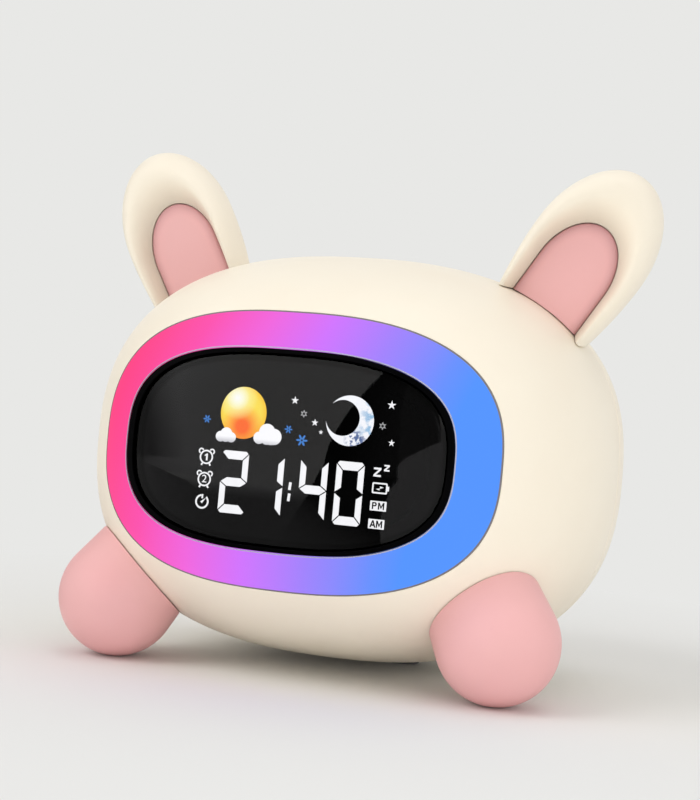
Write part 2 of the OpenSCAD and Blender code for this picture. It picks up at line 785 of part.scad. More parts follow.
lens_rings = 6;
module display_lens() {
    front = lens_sink + seat_gap;
    rear = front + lens_t;
    middle = [0, ring_up];
    color([0.1, 0.1, 0.12, 0.6]) in_body() profile_cap(at_front(middle, front), [for (t = column_angles())
        let(edge = window_oval(t, lens_edge))
        concat([for (k = [1:lens_rings]) at_front(mix(middle, edge, k / lens_rings), front)],
            [for (k = [lens_rings:-1:1]) at_front(mix(middle, edge, k / lens_rings), rear)])],
        at_front(middle, rear));
}

module display_module() {
    color(black) in_body() union() {
        slab(-display_y, display_flange_y)
            polygon([for (t = column_angles()) display_oval(t)]);
        slab(display_flange_y, floor_y - seat_gap)
            polygon([for (t = column_angles()) window_oval(t, lens_edge)]);
    }
}

// Main board and what it carries
module main_board() {
    color(board_green) in_body() difference() {
        slab(main_board_y, board_rear_y) rounded_rect(main_board_w, main_board_h, board_corner);
        at_four(main_post, main_board_y - 1)
            cylinder(r = small_screw_r + clear_bore, h = board_t + 2, $fn = 24);
    }
}

// Each chip's x and z on the board's rear face, its width and height, and how far it stands out
chips = [[0, 17, 10, 10, 1.4], [-15, 17, 6, 8, 1.4], [14, 12, 5, 4, 1.2], [14, 20, 11, 3, 3.6]];
capacitors = [[22, 18], [30, 18]];
capacitor_r = 3.1;
capacitor_len = 7;
module main_chips() {
    color(black) in_body() {
        for (c = chips) translate([c[0] - c[2] / 2, board_rear_y, c[1] - c[3] / 2]) cube([c[2], c[4], c[3]]);
        for (p = capacitors) along_y(p[0], board_rear_y, p[1])
            cylinder(r = capacitor_r, h = capacitor_len, $fn = 32);
    }
}

sensor_place = [-34, 10];
sensor_r = 2.4;
sensor_len = 11;
module vibration_sensor() {
    color("goldenrod") in_body() translate([sensor_place[0], board_rear_y + sensor_r, sensor_place[1]])
        rotate([0, 90, 0]) cylinder(r = sensor_r, h = sensor_len, $fn = 32);
}

module battery_holder() {
    hold = cell_len + 2 * seat_gap;
    w = hold + 2 * holder_wall;
    h = cell_d + 2 * (seat_gap + holder_wall);
    color(black) in_body() difference() {
        translate([-w / 2, board_rear_y, cell_z - h / 2]) cube([w, cell_y + holder_lift - board_rear_y, h]);
        translate([-hold / 2, cell_y, cell_z]) rotate([0, 90, 0])
            cylinder(d = cell_d + 2 * seat_gap, h = hold, $fn = 48);
        translate([-hold / 2, cell_y, cell_z - cell_d / 2 - seat_gap])
            cube([hold, 2 * holder_lift, cell_d + 2 * seat_gap]);
    }
}

cell_cap_r = 3;
cell_cap_t = 1;
module battery_cell() {
    color("royalblue") in_body() translate([-cell_len / 2, cell_y, cell_z]) rotate([0, 90, 0]) union() {
        cylinder(d = cell_d, h = cell_len - cell_cap_t, $fn = 48);
        cylinder(r = cell_cap_r, h = cell_len, $fn = 32);
    }
}

// Flat cable between the two boards, with a plug at each end
plug_t = 4;
plug_h = 4;
cable_w = 12;
cable_t = 0.8;
cable_z = [6, -15];
cable_steps = 20;

// Height of the cable at the share f of its way, in one smooth step between its two plugs
function cable_height(f) = mix(cable_z[0], cable_z[1], (1 - cos(180 * min(1, max(0, 2 * f - 0.8)))) / 2);
module ribbon_cable() {
    from = board_rear_y + plug_t;
    to = button_board_front - plug_t;
    line = [for (k = [0:cable_steps])
        let(f = k / cable_steps) [mix(from - 1, to + 1, f), cable_height(f)]];
    half = [0, cable_t / 2];
    color("lightgrey") in_body() union() {
        translate([-cable_w / 2, 0, 0]) rotate([90, 0, 90]) linear_extrude(cable_w)
            polygon(concat([for (p = line) p + half], reversed([for (p = line) p - half])));
        for (end = [[board_rear_y, cable_z[0]], [to, cable_z[1]]])
            translate([-cable_w / 2 - 1, end[0], end[1] - plug_h / 2]) cube([cable_w + 2, plug_t, plug_h]);
    }
}

// Button board and what it carries
board_posts = [for (x = [-board_post_x, 0, board_post_x]) [x, board_post_z]];
function button_x(k) = (k - (len(button_names) - 1) / 2) * button_pitch;

module button_board() {
    color(board_green) in_body() difference() {
        translate([0, 0, button_board_z])
            slab(button_board_front, button_board_rear)
                rounded_rect(button_board_w, button_board_h, board_corner);
        for (p = board_posts) along_y(p[0], button_board_front - 1, p[1])
            cylinder(r = small_screw_r + clear_bore, h = board_t + 2, $fn = 24);
    }
}

module tact_switches() {
    color(black) in_body() for (k = [0:len(button_names) - 1]) union() {
        translate([button_x(k) - tact_w / 2, button_board_rear, button_row_z - tact_w / 2])
            cube([tact_w, tact_t, tact_w]);
        along_y(button_x(k), button_board_rear, button_row_z)
            cylinder(r = plunger_r, h = tact_t + plunger_t, $fn = 24);
    }
}

module button(name) {
    k = search([name], button_names)[0];
    flange_y = panel_in - slide_gap - button_flange_t;
    color(pink) in_body() union() {
        along_y(button_x(k), flange_y, button_row_z)
            cylinder(r = button_d / 2 + button_flange_w, h = button_flange_t, $fn = 32);
        along_y(button_x(k), flange_y, button_row_z)
            cylinder(r = button_d / 2, h = panel_out + button_proud - flange_y, $fn = 32);
    }
}

module switch_body() {
    color(steel) in_body()
        translate([switch_x - switch_size[0] / 2, button_board_rear, lower_row_z - switch_size[1] / 2])
            cube([switch_size[0], switch_body_t, switch_size[1]]);
}

module switch_knob() {
    low = button_board_rear + switch_body_t + slide_gap;
    color(black) in_body()
        translate([switch_x - switch_travel / 2 - knob[0] / 2, low, lower_row_z - knob[1] / 2])
            cube([knob[0], panel_out + knob_proud - low, knob[1]]);
}

// Round-ended rectangle, w wide and h high
module stadium(w, h) {
    union() {
        square([w - h, h], center = true);
        for (x = [h - w, w - h]) translate([x / 2, 0]) circle(h / 2, $fn = 32);
    }
}

module usb_socket() {
    mouth = panel_out - usb_sunk;
    color(steel) in_body() translate([usb_x, 0, lower_row_z]) union() {
        slab(button_board_rear, button_board_rear + usb_floor_t) stadium(usb_w, usb_h);
        slab(button_board_rear, mouth) difference() {
            stadium(usb_w, usb_h);
            stadium(usb_w - 2 * usb_skin, usb_h - 2 * usb_skin);
        }
        slab(button_board_rear, mouth - tongue_sunk) square([tongue_w, tongue_h], center = true);
    }
}

// Loudspeaker
speaker_r = speaker_d / 2;
speaker_back = panel_in - seat_gap;
magnet_r = 8;
magnet_t = 5;
basket_depth = 11;
magnet_front = speaker_back - basket_depth;
magnet_rear = magnet_front + magnet_t;
basket_t = 1;
basket_rim = 2;
basket_step = 1.2;
cone_gap = 0.3;
cone_t = 0.8;
coil_r = 4;
dome_h = 1.6;
module speaker_frame() {
    color(steel) in_body() along_y(0, 0, speaker_z) rotate_extrude($fn = 48) polygon([
        [0, magnet_front], [magnet_r, magnet_front], [magnet_r, magnet_rear],
        [speaker_r - basket_rim, speaker_back - basket_rim], [speaker_r, speaker_back - basket_rim],
        [speaker_r, speaker_back], [speaker_r - basket_rim, speaker_back],
        [speaker_r - basket_rim, speaker_back - basket_step],
        [magnet_r - basket_t, magnet_rear + basket_t], [0, magnet_rear + basket_t]]);
}

module speaker_cone() {
    rim = speaker_r - basket_rim - seat_gap;
    surround = rim - basket_rim;
    throat = magnet_r - basket_rim;
    low = magnet_rear + basket_t + cone_gap;
    top = speaker_back - cone_gap;
    color("dimgrey") in_body() along_y(0, 0, speaker_z) rotate_extrude($fn = 48) polygon([
        [0, low + dome_h], [coil_r, low], [throat, low], [surround, top - cone_t], [rim, top - cone_t],
        [rim, top], [surround, top], [throat, low + cone_t], [coil_r, low + cone_t],
        [0, low + dome_h + cone_t]]);
}

// Back panel
grille_rings = [[1, 0], [6, 4.2], [12, 8.4], [18, 12.6]];
grille_hole_r = 1.1;
module grille_holes() {
    for (ring = grille_rings, k = [0:ring[0] - 1])
        let(a = 360 * k / ring[0])
        along_y(ring[1] * cos(a), panel_in - 1, speaker_z + ring[1] * sin(a))
            cylinder(r = grille_hole_r, h = panel_t + 2, $fn = 24);
}

module rear_panel() {
    color(cream) in_body() difference() {
        union() {
            slab(panel_in, panel_out)
                polygon([for (t = column_angles()) outline(t, panel_share, edge_gap)]);
            along_y(0, panel_in - collar_len, speaker_z) difference() {
                cylinder(r = speaker_r + seat_gap + collar_t, h = collar_len + panel_t / 2, $fn = 48);
                translate([0, 0, -1]) cylinder(r = speaker_r + seat_gap, h = collar_len + 1, $fn = 48);
            }
            for (p = board_posts) along_y(p[0], button_board_rear, p[1])
                cylinder(r = post_r, h = panel_in - button_board_rear + panel_t / 2, $fn = 32);
        }
        for (k = [0:len(button_names) - 1]) along_y(button_x(k), panel_in - 1, button_row_z)
            cylinder(r = button_d / 2 + button_hole_gap, h = panel_t + 2, $fn = 32);
        grille_holes();
        for (p = board_posts) along_y(p[0], button_board_rear - 1, p[1])
            cylinder(r = small_screw_r + screw_bite, h = post_bore_depth, $fn = 24);
        at_four(panel_spot(), panel_in - 1)
            cylinder(r = small_screw_r + clear_bore, h = panel_t + 2, $fn = 24);
        at_four(panel_spot(), panel_out - panel_bore_depth)
            cylinder(r = small_head_r + clear_bore, h = panel_t, $fn = 32);
        translate([usb_x, 0, lower_row_z]) slab(panel_in - 1, panel_out + 1)
            stadium(usb_w + 2 * edge_gap, usb_h + 2 * edge_gap);
        translate([switch_x, 0, lower_row_z]) slab(panel_in - 1, panel_out + 1)
            square([knob[0] + switch_travel + 2 * edge_gap, knob[1] + 2 * edge_gap], center = true);
    }
}

// Fasteners
module small_screw(length) {
    screw(small_screw_r, length, small_head_r, small_head_t);
}

module case_screws() {
    color(steel) in_body() at_four(case_spot(), case_seat_y)
        screw(case_screw_r, case_screw_len, case_head_r, case_head_t);
}

module panel_screws() {
    color(steel) in_body() at_four(panel_spot(), panel_out - panel_bore_depth) small_screw(panel_screw_len);
}

module reflector_screws() {
    color(steel) in_body() at_four(lug_spot(), lug_y, ring_up)
        small_screw(floor_t + small_boss_depth - bore_spare);
}

module board_screws() {
    color(steel) in_body() {
        at_four(main_post, board_rear_y) small_screw(board_t + main_screw_bite);
        for (p = board_posts) along_y(p[0], button_board_front, p[1])
            rotate([180, 0, 0]) small_screw(board_t + button_screw_bite);
    }
}

module ear_screws() {
    color(steel) in_body() at_both_sides() in_ear() translate(ear_seat()) rotate([180, 0, 0])
        screw(fixing_screw_r, fixing_screw_len, fixing_head_r, fixing_head_t);
}

module foot_screws() {
    color(steel) in_body() at_both_sides()
        along_axis(foot_screw_top() + foot_screw_axis() * fixing_boss_len, foot_screw_axis())
            screw(fixing_screw_r, fixing_screw_len, fixing_head_r, fixing_head_t);
}

module ear_left() { in_body() mirror([1, 0, 0]) ear(); }
module ear_right() { in_body() ear(); }
module ear_liner_left() { in_body() mirror([1, 0, 0]) ear_liner(); }
module ear_liner_right() { in_body() ear_liner(); }
module foot_left() { mirror([1, 0, 0]) foot(); }
module foot_right() { foot(); }

front_shell();
back_shell();
rear_panel();
light_ring();
ring_reflector();
ring_led_board();
ring_leds();
display_bezel();
display_lens();
display_module();
main_board();
main_chips();
vibration_sensor();
battery_holder();
battery_cell();
ribbon_cable();
button_board();
tact_switches();
button("set");  // button_set
button("down");  // button_down
button("up");  // button_up
button("mode");  // button_mode
button("light");  // button_light
button("sound");  // button_sound
switch_body();
switch_knob();
usb_socket();
speaker_frame();
speaker_cone();
ear_left();
ear_right();
ear_liner_left();
ear_liner_right();
ear_screws();
foot_left();
foot_right();
foot_screws();
base_pad();
case_screws();
panel_screws();
board_screws();
reflector_screws();
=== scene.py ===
"""Looks of a bedside alarm clock: shells, glowing ring, lit display, ears, feet and back.

Lengths in the functions are millimetres in the clock's own frame: X to the right as seen from the
front, Y towards the back and Z up from the middle of the body. Meshes are made in metres.
"""

import math

import bmesh
import bpy
import numpy as np
from mathutils import Matrix, Vector


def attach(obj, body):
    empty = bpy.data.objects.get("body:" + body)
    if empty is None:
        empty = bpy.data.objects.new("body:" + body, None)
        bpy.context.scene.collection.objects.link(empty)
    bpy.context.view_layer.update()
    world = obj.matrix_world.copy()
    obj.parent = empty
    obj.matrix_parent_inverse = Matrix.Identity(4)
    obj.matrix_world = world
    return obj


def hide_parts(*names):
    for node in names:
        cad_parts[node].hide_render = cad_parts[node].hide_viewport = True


bl_info = {
    "name": "Bedside clock with a night light",
    "version": (1, 0, 0),
    "blender": (4, 5, 0),
    "location": "View3D > Sidebar > Clock",
    "description": "Builds the visible pieces of a bedside alarm clock with a night light",
    "category": "Object",
}

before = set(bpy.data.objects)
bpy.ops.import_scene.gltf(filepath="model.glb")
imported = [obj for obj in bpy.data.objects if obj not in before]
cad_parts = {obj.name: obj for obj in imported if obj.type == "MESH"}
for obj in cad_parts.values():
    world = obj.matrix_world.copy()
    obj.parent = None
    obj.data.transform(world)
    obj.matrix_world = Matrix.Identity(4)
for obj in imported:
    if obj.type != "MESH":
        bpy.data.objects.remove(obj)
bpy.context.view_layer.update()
CLOCK = "clock"
MM = 0.001

# The body's frame in the clock's: it leans back and stands on its feet
LEAN = math.radians(2.3)
BODY_FORWARD, BODY_UP = 4.9, 53
BODY_PLACE = (Matrix.Translation((0, -BODY_FORWARD * MM, BODY_UP * MM))
              @ Matrix.Rotation(-LEAN, 4, "X"))

# Body
BODY_W, BODY_H = 134, 104
FRONT_DEPTH, BACK_DEPTH, BACK_FLAT = 71, 44, 33
OUTLINE_N, FRONT_M, BACK_M = 2.47, 2.33, 2.43
WALL = 2.4
EDGE_GAP, SEAT_GAP, SKIN_GAP = 0.2, 0.15, 0.3
TONGUE_LEN = 1.5
RIM_SHARE = (1 - (BACK_FLAT / BACK_DEPTH) ** BACK_M) ** (1 / BACK_M)
PANEL_SHARE = RIM_SHARE - 4 / (BODY_W / 2)
LEDGE_SHARE = PANEL_SHARE - 3.6 / (BODY_W / 2)
PANEL_OUT = 32.6
LEDGE_BACK, LEDGE_T = 30.45, 2
PAD_W, PAD_D, PAD_T = 34, 9, 2.2
CASE_ANGLE, CASE_SHARE = math.radians(21), 0.85
CASE_SEAT_Y, CASE_BORE_R = 8, 2.9
# Which of a shell's faces are its bosses': as near to a screw, as clear of the wall, and in the
# front shell before the one depth, in the back shell behind the other
BOSS_REACH, BOSS_GAP, FRONT_BOSS_Y, BACK_BOSS_Y = 4.5, 0.7, -0.6, -0.9

# Ring, rim and lens
RING_W, RING_H, RING_N = 100, 65.3, 2.64
WINDOW_W, WINDOW_H, WINDOW_N = 82.1, 47.4, 2.77
RING_UP, RING_T, RING_LIP = 0.6, 3.6, 2
RIM_W, RIM_END_W, RIM_SHIFT, RIM_REBATE = 1.1, 1.75, 0.4, 0.8
LENS_SINK, LENS_T = 0.5, 2
RIM_FOOT = 6.6
DISPLAY_Y, DISPLAY_SHIFT = 57.4, 0.25
PLATE_T, LAYER_GAP = 0.03, 0.06

# Ears
EAR_PLACE = math.radians(41.2)
EAR_SPLAY, EAR_YAW, EAR_PITCH = math.radians(31.5), math.radians(7), math.radians(1.3)
EAR_LEN, EAR_W, EAR_ROOT_W, EAR_T = 41.9, 31, 26.8, 15
EAR_FORWARD, EAR_SINK, EAR_WAIST = 8.3, 1.5, 19.3
LINER_LEN, LINER_W, LINER_T, LINER_WAIST = 26.1, 19.8, 1.4, 12.2
RIM_PEAK, BOWL_DEPTH, BOWL_RISE, EAR_ROUND = 0.55, 4.6, 1.15, 2.6
LINER_FLOOR = EAR_T / 2 - BOWL_DEPTH
# A liner's edge: where its rounding starts, how high that rises and the middle beyond it, and the
# rounding's share of the half width
LINER_SINK, LINER_ROUND, LINER_CROWN, LINER_EDGE = 0.55, 0.75, 0.25, 0.1

# Feet
FOOT_R, FOOT_INSET, FOOT_FORWARD, FOOT_FLAT = 15, 17.6, 41, 0.3
LEG_TURN, LEG_RISE, LEG_TAPER = math.radians(60), math.radians(54), math.radians(5)

# Buttons
BUTTONS = ("set", "down", "up", "mode", "light", "sound")
BUTTON_D, BUTTON_PITCH, BUTTON_ROW_Z = 6.4, 10, -11
FLANGE_Y, FLANGE_T, FLANGE_W, BUTTON_PROUD = 29.35, 1.1, 1, 1.6
BUTTON_ROUND, BUTTON_CROWN = 0.45, 0.1

# Fineness of the meshes, and the angles in degrees past which an edge is sharp or softened
COLUMNS, FRONT_ROWS, BACK_ROWS = 288, 40, 32
SHARP, CUT_SHARP, BUTTON_SHARP, SOFT_FROM = 38, 35, 30, 40
WELD, SLIVER = 2e-6, 1e-7


# ---------------------------------------------------------------- shapes

def round_turn(count):
    """Angles once round, evenly set."""
    return np.linspace(0, 2 * math.pi, count, endpoint=False)


TURN = round_turn(COLUMNS)


def polar(t, r=1.0, centre=(0, 0)):
    """Points of a plane at the angles t, as far as r from a centre."""
    return np.stack([np.cos(t), np.sin(t)], -1) * np.asarray(r)[..., None] + centre


def oval(half_w, half_h, n, t=TURN):
    """Superellipse: its points at the polar angles t."""
    c, s = np.cos(t), np.sin(t)
    r = (np.abs(c / half_w) ** n + np.abs(s / half_h) ** n) ** (-1 / n)
    return np.stack([r * c, r * s], -1)


def outline(share=1.0, inset=0.0, t=TURN):
    return share * oval(BODY_W / 2 - inset, BODY_H / 2 - inset, OUTLINE_N, t)


def ring_oval(grow=0.0):
    return oval(RING_W / 2 + grow, RING_H / 2 + grow, RING_N) + (0, RING_UP)


def window_oval(grow=0.0):
    return oval(WINDOW_W / 2 + grow, WINDOW_H / 2 + grow, WINDOW_N) + (0, RING_UP)


def spread(p, inset=0.0):
    """How far the points p of the XZ plane lie out to the body's outline, where it is 1."""
    return ((np.abs(p[..., 0]) / (BODY_W / 2 - inset)) ** OUTLINE_N
            + (np.abs(p[..., 1]) / (BODY_H / 2 - inset)) ** OUTLINE_N) ** (1 / OUTLINE_N)


def front_y(p, inset=0.0):
    inside = np.maximum(0, 1 - spread(p, inset) ** FRONT_M)
    return -(FRONT_DEPTH - inset) * inside ** (1 / FRONT_M)


def at_depth(p, y):
    """Points of the XZ plane carried to the depth y."""
    p = np.asarray(p, float)
    return np.stack([p[..., 0], np.broadcast_to(y, p.shape[:-1]), p[..., 1]], -1)


def at_front(p, inset=0.0, behind=0.0):
    p = np.asarray(p, float)
    return at_depth(p, front_y(p, inset) + behind)


def dome_run(p, depth, m, inset, side, rows):
    """Profiles that run down a dome from the seam to the points p, one row of points for each."""
    q = spread(p, inset)
    last = np.arccos(q ** (m / 2))
    f = last[:, None] * np.linspace(0, 1, rows + 1)
    ratio = np.cos(f) ** (2 / m) / q[:, None]
    y = side * (depth - inset) * np.sin(f) ** (2 / m)
    return np.stack([p[:, :1] * ratio, y, p[:, 1:] * ratio], -1)


def front_run(p, inset=0.0):
    return dome_run(p, FRONT_DEPTH, FRONT_M, inset, -1, FRONT_ROWS)


def back_run(p, inset=0.0):
    return dome_run(p, BACK_DEPTH, BACK_M, inset, 1, BACK_ROWS)


def seam(inset, y):
    return at_depth(outline(1, inset), y)


def body_level(p, grow=0.0):
    """1 where the points p are on the body's surface grown by grow, and less inside it."""
    front = p[..., 1] < 0
    m = np.where(front, FRONT_M, BACK_M)
    depth = np.where(front, FRONT_DEPTH, BACK_DEPTH)
    q = spread(p[..., ::2], -grow)
    return q ** m + (np.abs(p[..., 1]) / (depth + grow)) ** m


def bisect(inside, low, high, tries=26):
    """Where inside changes from true at low to false at high, for arrays of bounds."""
    for _ in range(tries):
        mid = (low + high) / 2
        hit = inside(mid)
        low, high = np.where(hit, mid, low), np.where(hit, high, mid)
    return (low + high) / 2


def mix(a, b, f):
    return a + (b - a) * f


def rows_of(*parts):
    """Profiles joined end to end. A part is one point for each column, or a run of them."""
    return np.concatenate([p[:, None] if p.ndim == 2 else p for p in parts], 1)


def soften(grid, corners, steps=5):
    """Rounds corners of closed profiles: corners maps a point's number to its rounding's reach."""
    count, out = grid.shape[1], []
    for i in range(count):
        p = grid[:, i]
        if i not in corners:
            out.append(p[:, None])
            continue
        ends = []
        for j in (i - 1, (i + 1) % count):
            arm = grid[:, j] - p
            length = np.maximum(np.linalg.norm(arm, axis=1, keepdims=True), 1e-6)
            ends.append(p + arm / length * np.minimum(corners[i], 0.45 * length))
        f = np.linspace(0, 1, steps + 1)[None, :, None]
        out.append((1 - f) ** 2 * ends[0][:, None] + 2 * f * (1 - f) * p[:, None]
                   + f ** 2 * ends[1][:, None])
    return np.concatenate(out, 1)


class Skin:
    """Points and faces of one mesh, gathered grid by grid."""

    def __init__(self):
        self.points, self.faces, self.count = [], [], 0

    def grid(self, grid, wrap_rows=True, wrap_columns=False):
        rows, columns = grid.shape[:2]
        number = self.count + np.arange(rows * columns).reshape(rows, columns)
        if wrap_rows:
            number = np.vstack([number, number[:1]])
        if wrap_columns:
            number = np.hstack([number, number[:, :1]])
        a, b, c, d = number[:-1, :-1], number[1:, :-1], number[1:, 1:], number[:-1, 1:]
        self.faces += np.stack([a, b, c, d], -1).reshape(-1, 4).tolist()
        self.points.append(grid.reshape(-1, 3))
        self.count += rows * columns
        return self

    def fan(self, ring, pole):
        """Closes a ring of points with a pole."""
        self.points += [ring, np.asarray(pole, float)[None]]
        n = len(ring)
        self.faces += [(self.count + i, self.count + (i + 1) % n, self.count + n)
                       for i in range(n)]
        self.count += n + 1
        return self

    def mesh(self, name, sharp=SHARP, closed=True):
        """The skin as a mesh, welded, with its faces turned outwards. A closed one loses its
        slivers and holes. Another one holds loose inner parts, and points that no face uses."""
        mesh = bpy.data.meshes.new(name)
        mesh.from_pydata((np.concatenate(self.points) * MM).tolist(), [], self.faces)
        bm = bmesh.new()
        bm.from_mesh(mesh)
        if not closed:
            unused = [v for v in bm.verts if not v.link_faces]
            bmesh.ops.delete(bm, geom=unused, context="VERTS")
        bmesh.ops.remove_doubles(bm, verts=bm.verts, dist=WELD)
        if closed:
            bmesh.ops.dissolve_degenerate(bm, edges=bm.edges, dist=SLIVER)
            bmesh.ops.holes_fill(bm, edges=bm.edges, sides=0)
        write_out(bm, mesh)
        smooth(mesh, sharp)
        return mesh


def closed_round(grid, corners=()):
    """Skin of closed profiles that stand side by side all the way round."""
    return Skin().grid(soften(grid, corners), wrap_columns=True)


def write_out(bm, mesh):
    """Turns the faces in the making outwards and writes them to a mesh."""
    bmesh.ops.recalc_face_normals(bm, faces=bm.faces)
    bm.to_mesh(mesh)
    bm.free()


def smooth(mesh, sharp=SHARP):
    mesh.shade_smooth()
    mesh.set_sharp_from_angle(angle=math.radians(sharp))


# ---------------------------------------------------------------- finishes

def srgb(r, g, b):
    """Scene-linear colour of an 8-bit screen colour."""
    def linear(v):
        v /= 255
        return v / 12.92 if v <= 0.04045 else ((v + 0.055) / 1.055) ** 2.4
    return linear(r), linear(g), linear(b), 1.0


def feed(tree, socket, value):
    """Links a socket to another node's output, or gives it a plain value."""
    if isinstance(value, bpy.types.NodeSocket):
        tree.links.new(value, socket)
    else:
        socket.default_value = value


def node(tree, kind, **values):
    """A new node, to the right of the ones before it."""
    made = tree.nodes.new(kind)
    made.location = (200 * len(tree.nodes), 0)
    for key, value in values.items():
        setattr(made, key, value)
    return made


def fill(tree, sockets, values):
    """Feeds sockets by their names or numbers."""
    for key, value in values.items():
        feed(tree, sockets[key], value)


def fed_node(tree, kind, inputs, **values):
    """A new node with its inputs fed."""
    made = node(tree, kind, **values)
    fill(tree, made.inputs, inputs)
    return made


def maths(tree, operation, a, b=0.0, clamp=False):
    return fed_node(tree, "ShaderNodeMath", {0: a, 1: b}, operation=operation,
                    use_clamp=clamp).outputs[0]


def vectors(tree, operation, a, b=(0, 0, 0), result="Vector"):
    return fed_node(tree, "ShaderNodeVectorMath", {0: a, 1: b},
                    operation=operation).outputs[result]


def mix_colours(tree, factor, a, b, blend="MIX"):
    return fed_node(tree, "ShaderNodeMix", {0: factor, 6: a, 7: b}, data_type="RGBA",
                    blend_type=blend).outputs[2]


def map_range(tree, value, low, high, to_low=0.0, to_high=1.0):
    return fed_node(tree, "ShaderNodeMapRange",
                    {0: value, 1: low, 2: high, 3: to_low, 4: to_high}).outputs[0]


def noise(tree, vector, scale, detail=3.0, roughness=0.5):
    return fed_node(tree, "ShaderNodeTexNoise", {
        "Vector": vector, "Scale": scale, "Detail": detail,
        "Roughness": roughness}).outputs["Fac"]


def bumped(tree, height, strength, distance):
    return fed_node(tree, "ShaderNodeBump", {
        "Height": height, "Strength": strength, "Distance": distance}).outputs["Normal"]


def own_place(tree):
    """Place in the piece's own frame, in metres."""
    return node(tree, "ShaderNodeTexCoord").outputs["Object"]


def object_axis(tree, direction):
    """Distance along a direction of the piece's own frame, in metres."""
    return vectors(tree, "DOT_PRODUCT", own_place(tree), direction, "Value")


def distance_from(tree, centre):
    """Distance from a point of the piece's own frame, in metres."""
    return vectors(tree, "DISTANCE", own_place(tree), centre, "Value")


def ramp(tree, factor, stops):
    made = fed_node(tree, "ShaderNodeValToRGB", {0: factor})
    elements = made.color_ramp.elements
    while len(elements) < len(stops):
        elements.new(1.0)
    for element, (position, colour) in zip(elements, stops):
        element.position, element.color = position, colour
    return made.outputs[0]


# Kinds of sockets, by how many numbers a value has
SOCKETS = {1: "NodeSocketFloat", 3: "NodeSocketVector", 4: "NodeSocketColor"}


def new_group(name, more=(), **inputs):
    """A shader node group for a finish's Color, Roughness and Normal and for more numbers.
    Gives its tree, what it is given and what it gives."""
    group = bpy.data.node_groups.new(name, "ShaderNodeTree")
    for title, value in inputs.items():
        group.interface.new_socket(title, in_out="INPUT",
                                   socket_type=SOCKETS[np.size(value)]).default_value = value
    for title, size in (("Color", 4), ("Roughness", 1), ("Normal", 3), *more):
        group.interface.new_socket(title, in_out="OUTPUT", socket_type=SOCKETS[size])
    return group, node(group, "NodeGroupInput").outputs, node(group, "NodeGroupOutput").inputs


def moulded_plastic():
    """Moulded plastic: faint mottle, a fine eroded grain and soft wear in its gloss."""
    group, given, gives = new_group(
        "Moulded plastic", Color=(0.8, 0.8, 0.8, 1), Shade=(0.6, 0.6, 0.6, 1), Mottle=0.25,
        Roughness=0.4, Spread=0.08, Grain=1600.0, Depth=0.00002)
    place = own_place(group)
    broad = noise(group, place, 38.0, 2.0)
    fine = noise(group, place, given["Grain"], 2.0, 0.6)
    speck = noise(group, place, 420.0, 4.0, 0.7)
    mask = maths(group, "MULTIPLY", map_range(group, broad, 0.35, 0.68), given["Mottle"])
    colour = mix_colours(group, mask, given["Color"], given["Shade"])
    specks = maths(group, "MULTIPLY", map_range(group, speck, 0.62, 0.72), 0.12)
    worn = maths(group, "MULTIPLY", map_range(group, broad, 0.3, 0.7, -1, 1), given["Spread"])
    fill(group, gives, {"Color": mix_colours(group, specks, colour, given["Shade"]),
                        "Roughness": maths(group, "ADD", given["Roughness"], worn, True),
                        "Normal": bumped(group, fine, 0.35, given["Depth"])})
    return group


def worked_metal():
    """Drawn or plated metal: fine streaks along one axis, faint stains and small pits."""
    group, given, gives = new_group(
        "Worked metal", Color=(0.6, 0.6, 0.6, 1), Stain=(0.3, 0.3, 0.3, 1), Stretch=(1, 1, 12),
        Roughness=0.28)
    place = own_place(group)
    streak = noise(group, vectors(group, "MULTIPLY", place, given["Stretch"]), 260.0, 4.0, 0.65)
    cloud = map_range(group, noise(group, place, 120.0, 3.0), 0.45, 0.75)
    stained = maths(group, "MULTIPLY", cloud, 0.5)
    worn = map_range(group, streak, 0.3, 0.7, -0.09, 0.09)
    fill(group, gives, {"Color": mix_colours(group, stained, given["Color"], given["Stain"]),
                        "Roughness": maths(group, "ADD", given["Roughness"], worn, True),
                        "Normal": bumped(group, streak, 0.3, 0.00003)})
    return group


def printed_circuit():
    """Circuit board: solder mask over copper tracks, with round tinned pads."""
    group, given, gives = new_group(
        "Printed circuit", (("Metal", 1),), Mask=(0.01, 0.1, 0.04, 1), Track=(0.03, 0.2, 0.07, 1),
        Pad=(0.6, 0.58, 0.5, 1), Scale=230.0)
    where = {"Vector": own_place(group), "Scale": given["Scale"]}
    cells = fed_node(group, "ShaderNodeTexVoronoi", where, distance="CHEBYCHEV",
                     feature="DISTANCE_TO_EDGE")
    dots = fed_node(group, "ShaderNodeTexVoronoi", {**where, "Randomness": 0.35}, feature="F1")
    track = map_range(group, cells.outputs["Distance"], 0.07, 0.09, 1, 0)
    pad = map_range(group, dots.outputs["Distance"], 0.12, 0.15, 1, 0)
    base = mix_colours(group, track, given["Mask"], given["Track"])
    fill(group, gives, {"Color": mix_colours(group, pad, base, given["Pad"]),
                        "Roughness": map_range(group, pad, 0, 1, 0.38, 0.25), "Metal": pad,
                        "Normal": bumped(group, maths(group, "ADD", track, pad), 0.5, 0.00004)})
    return group


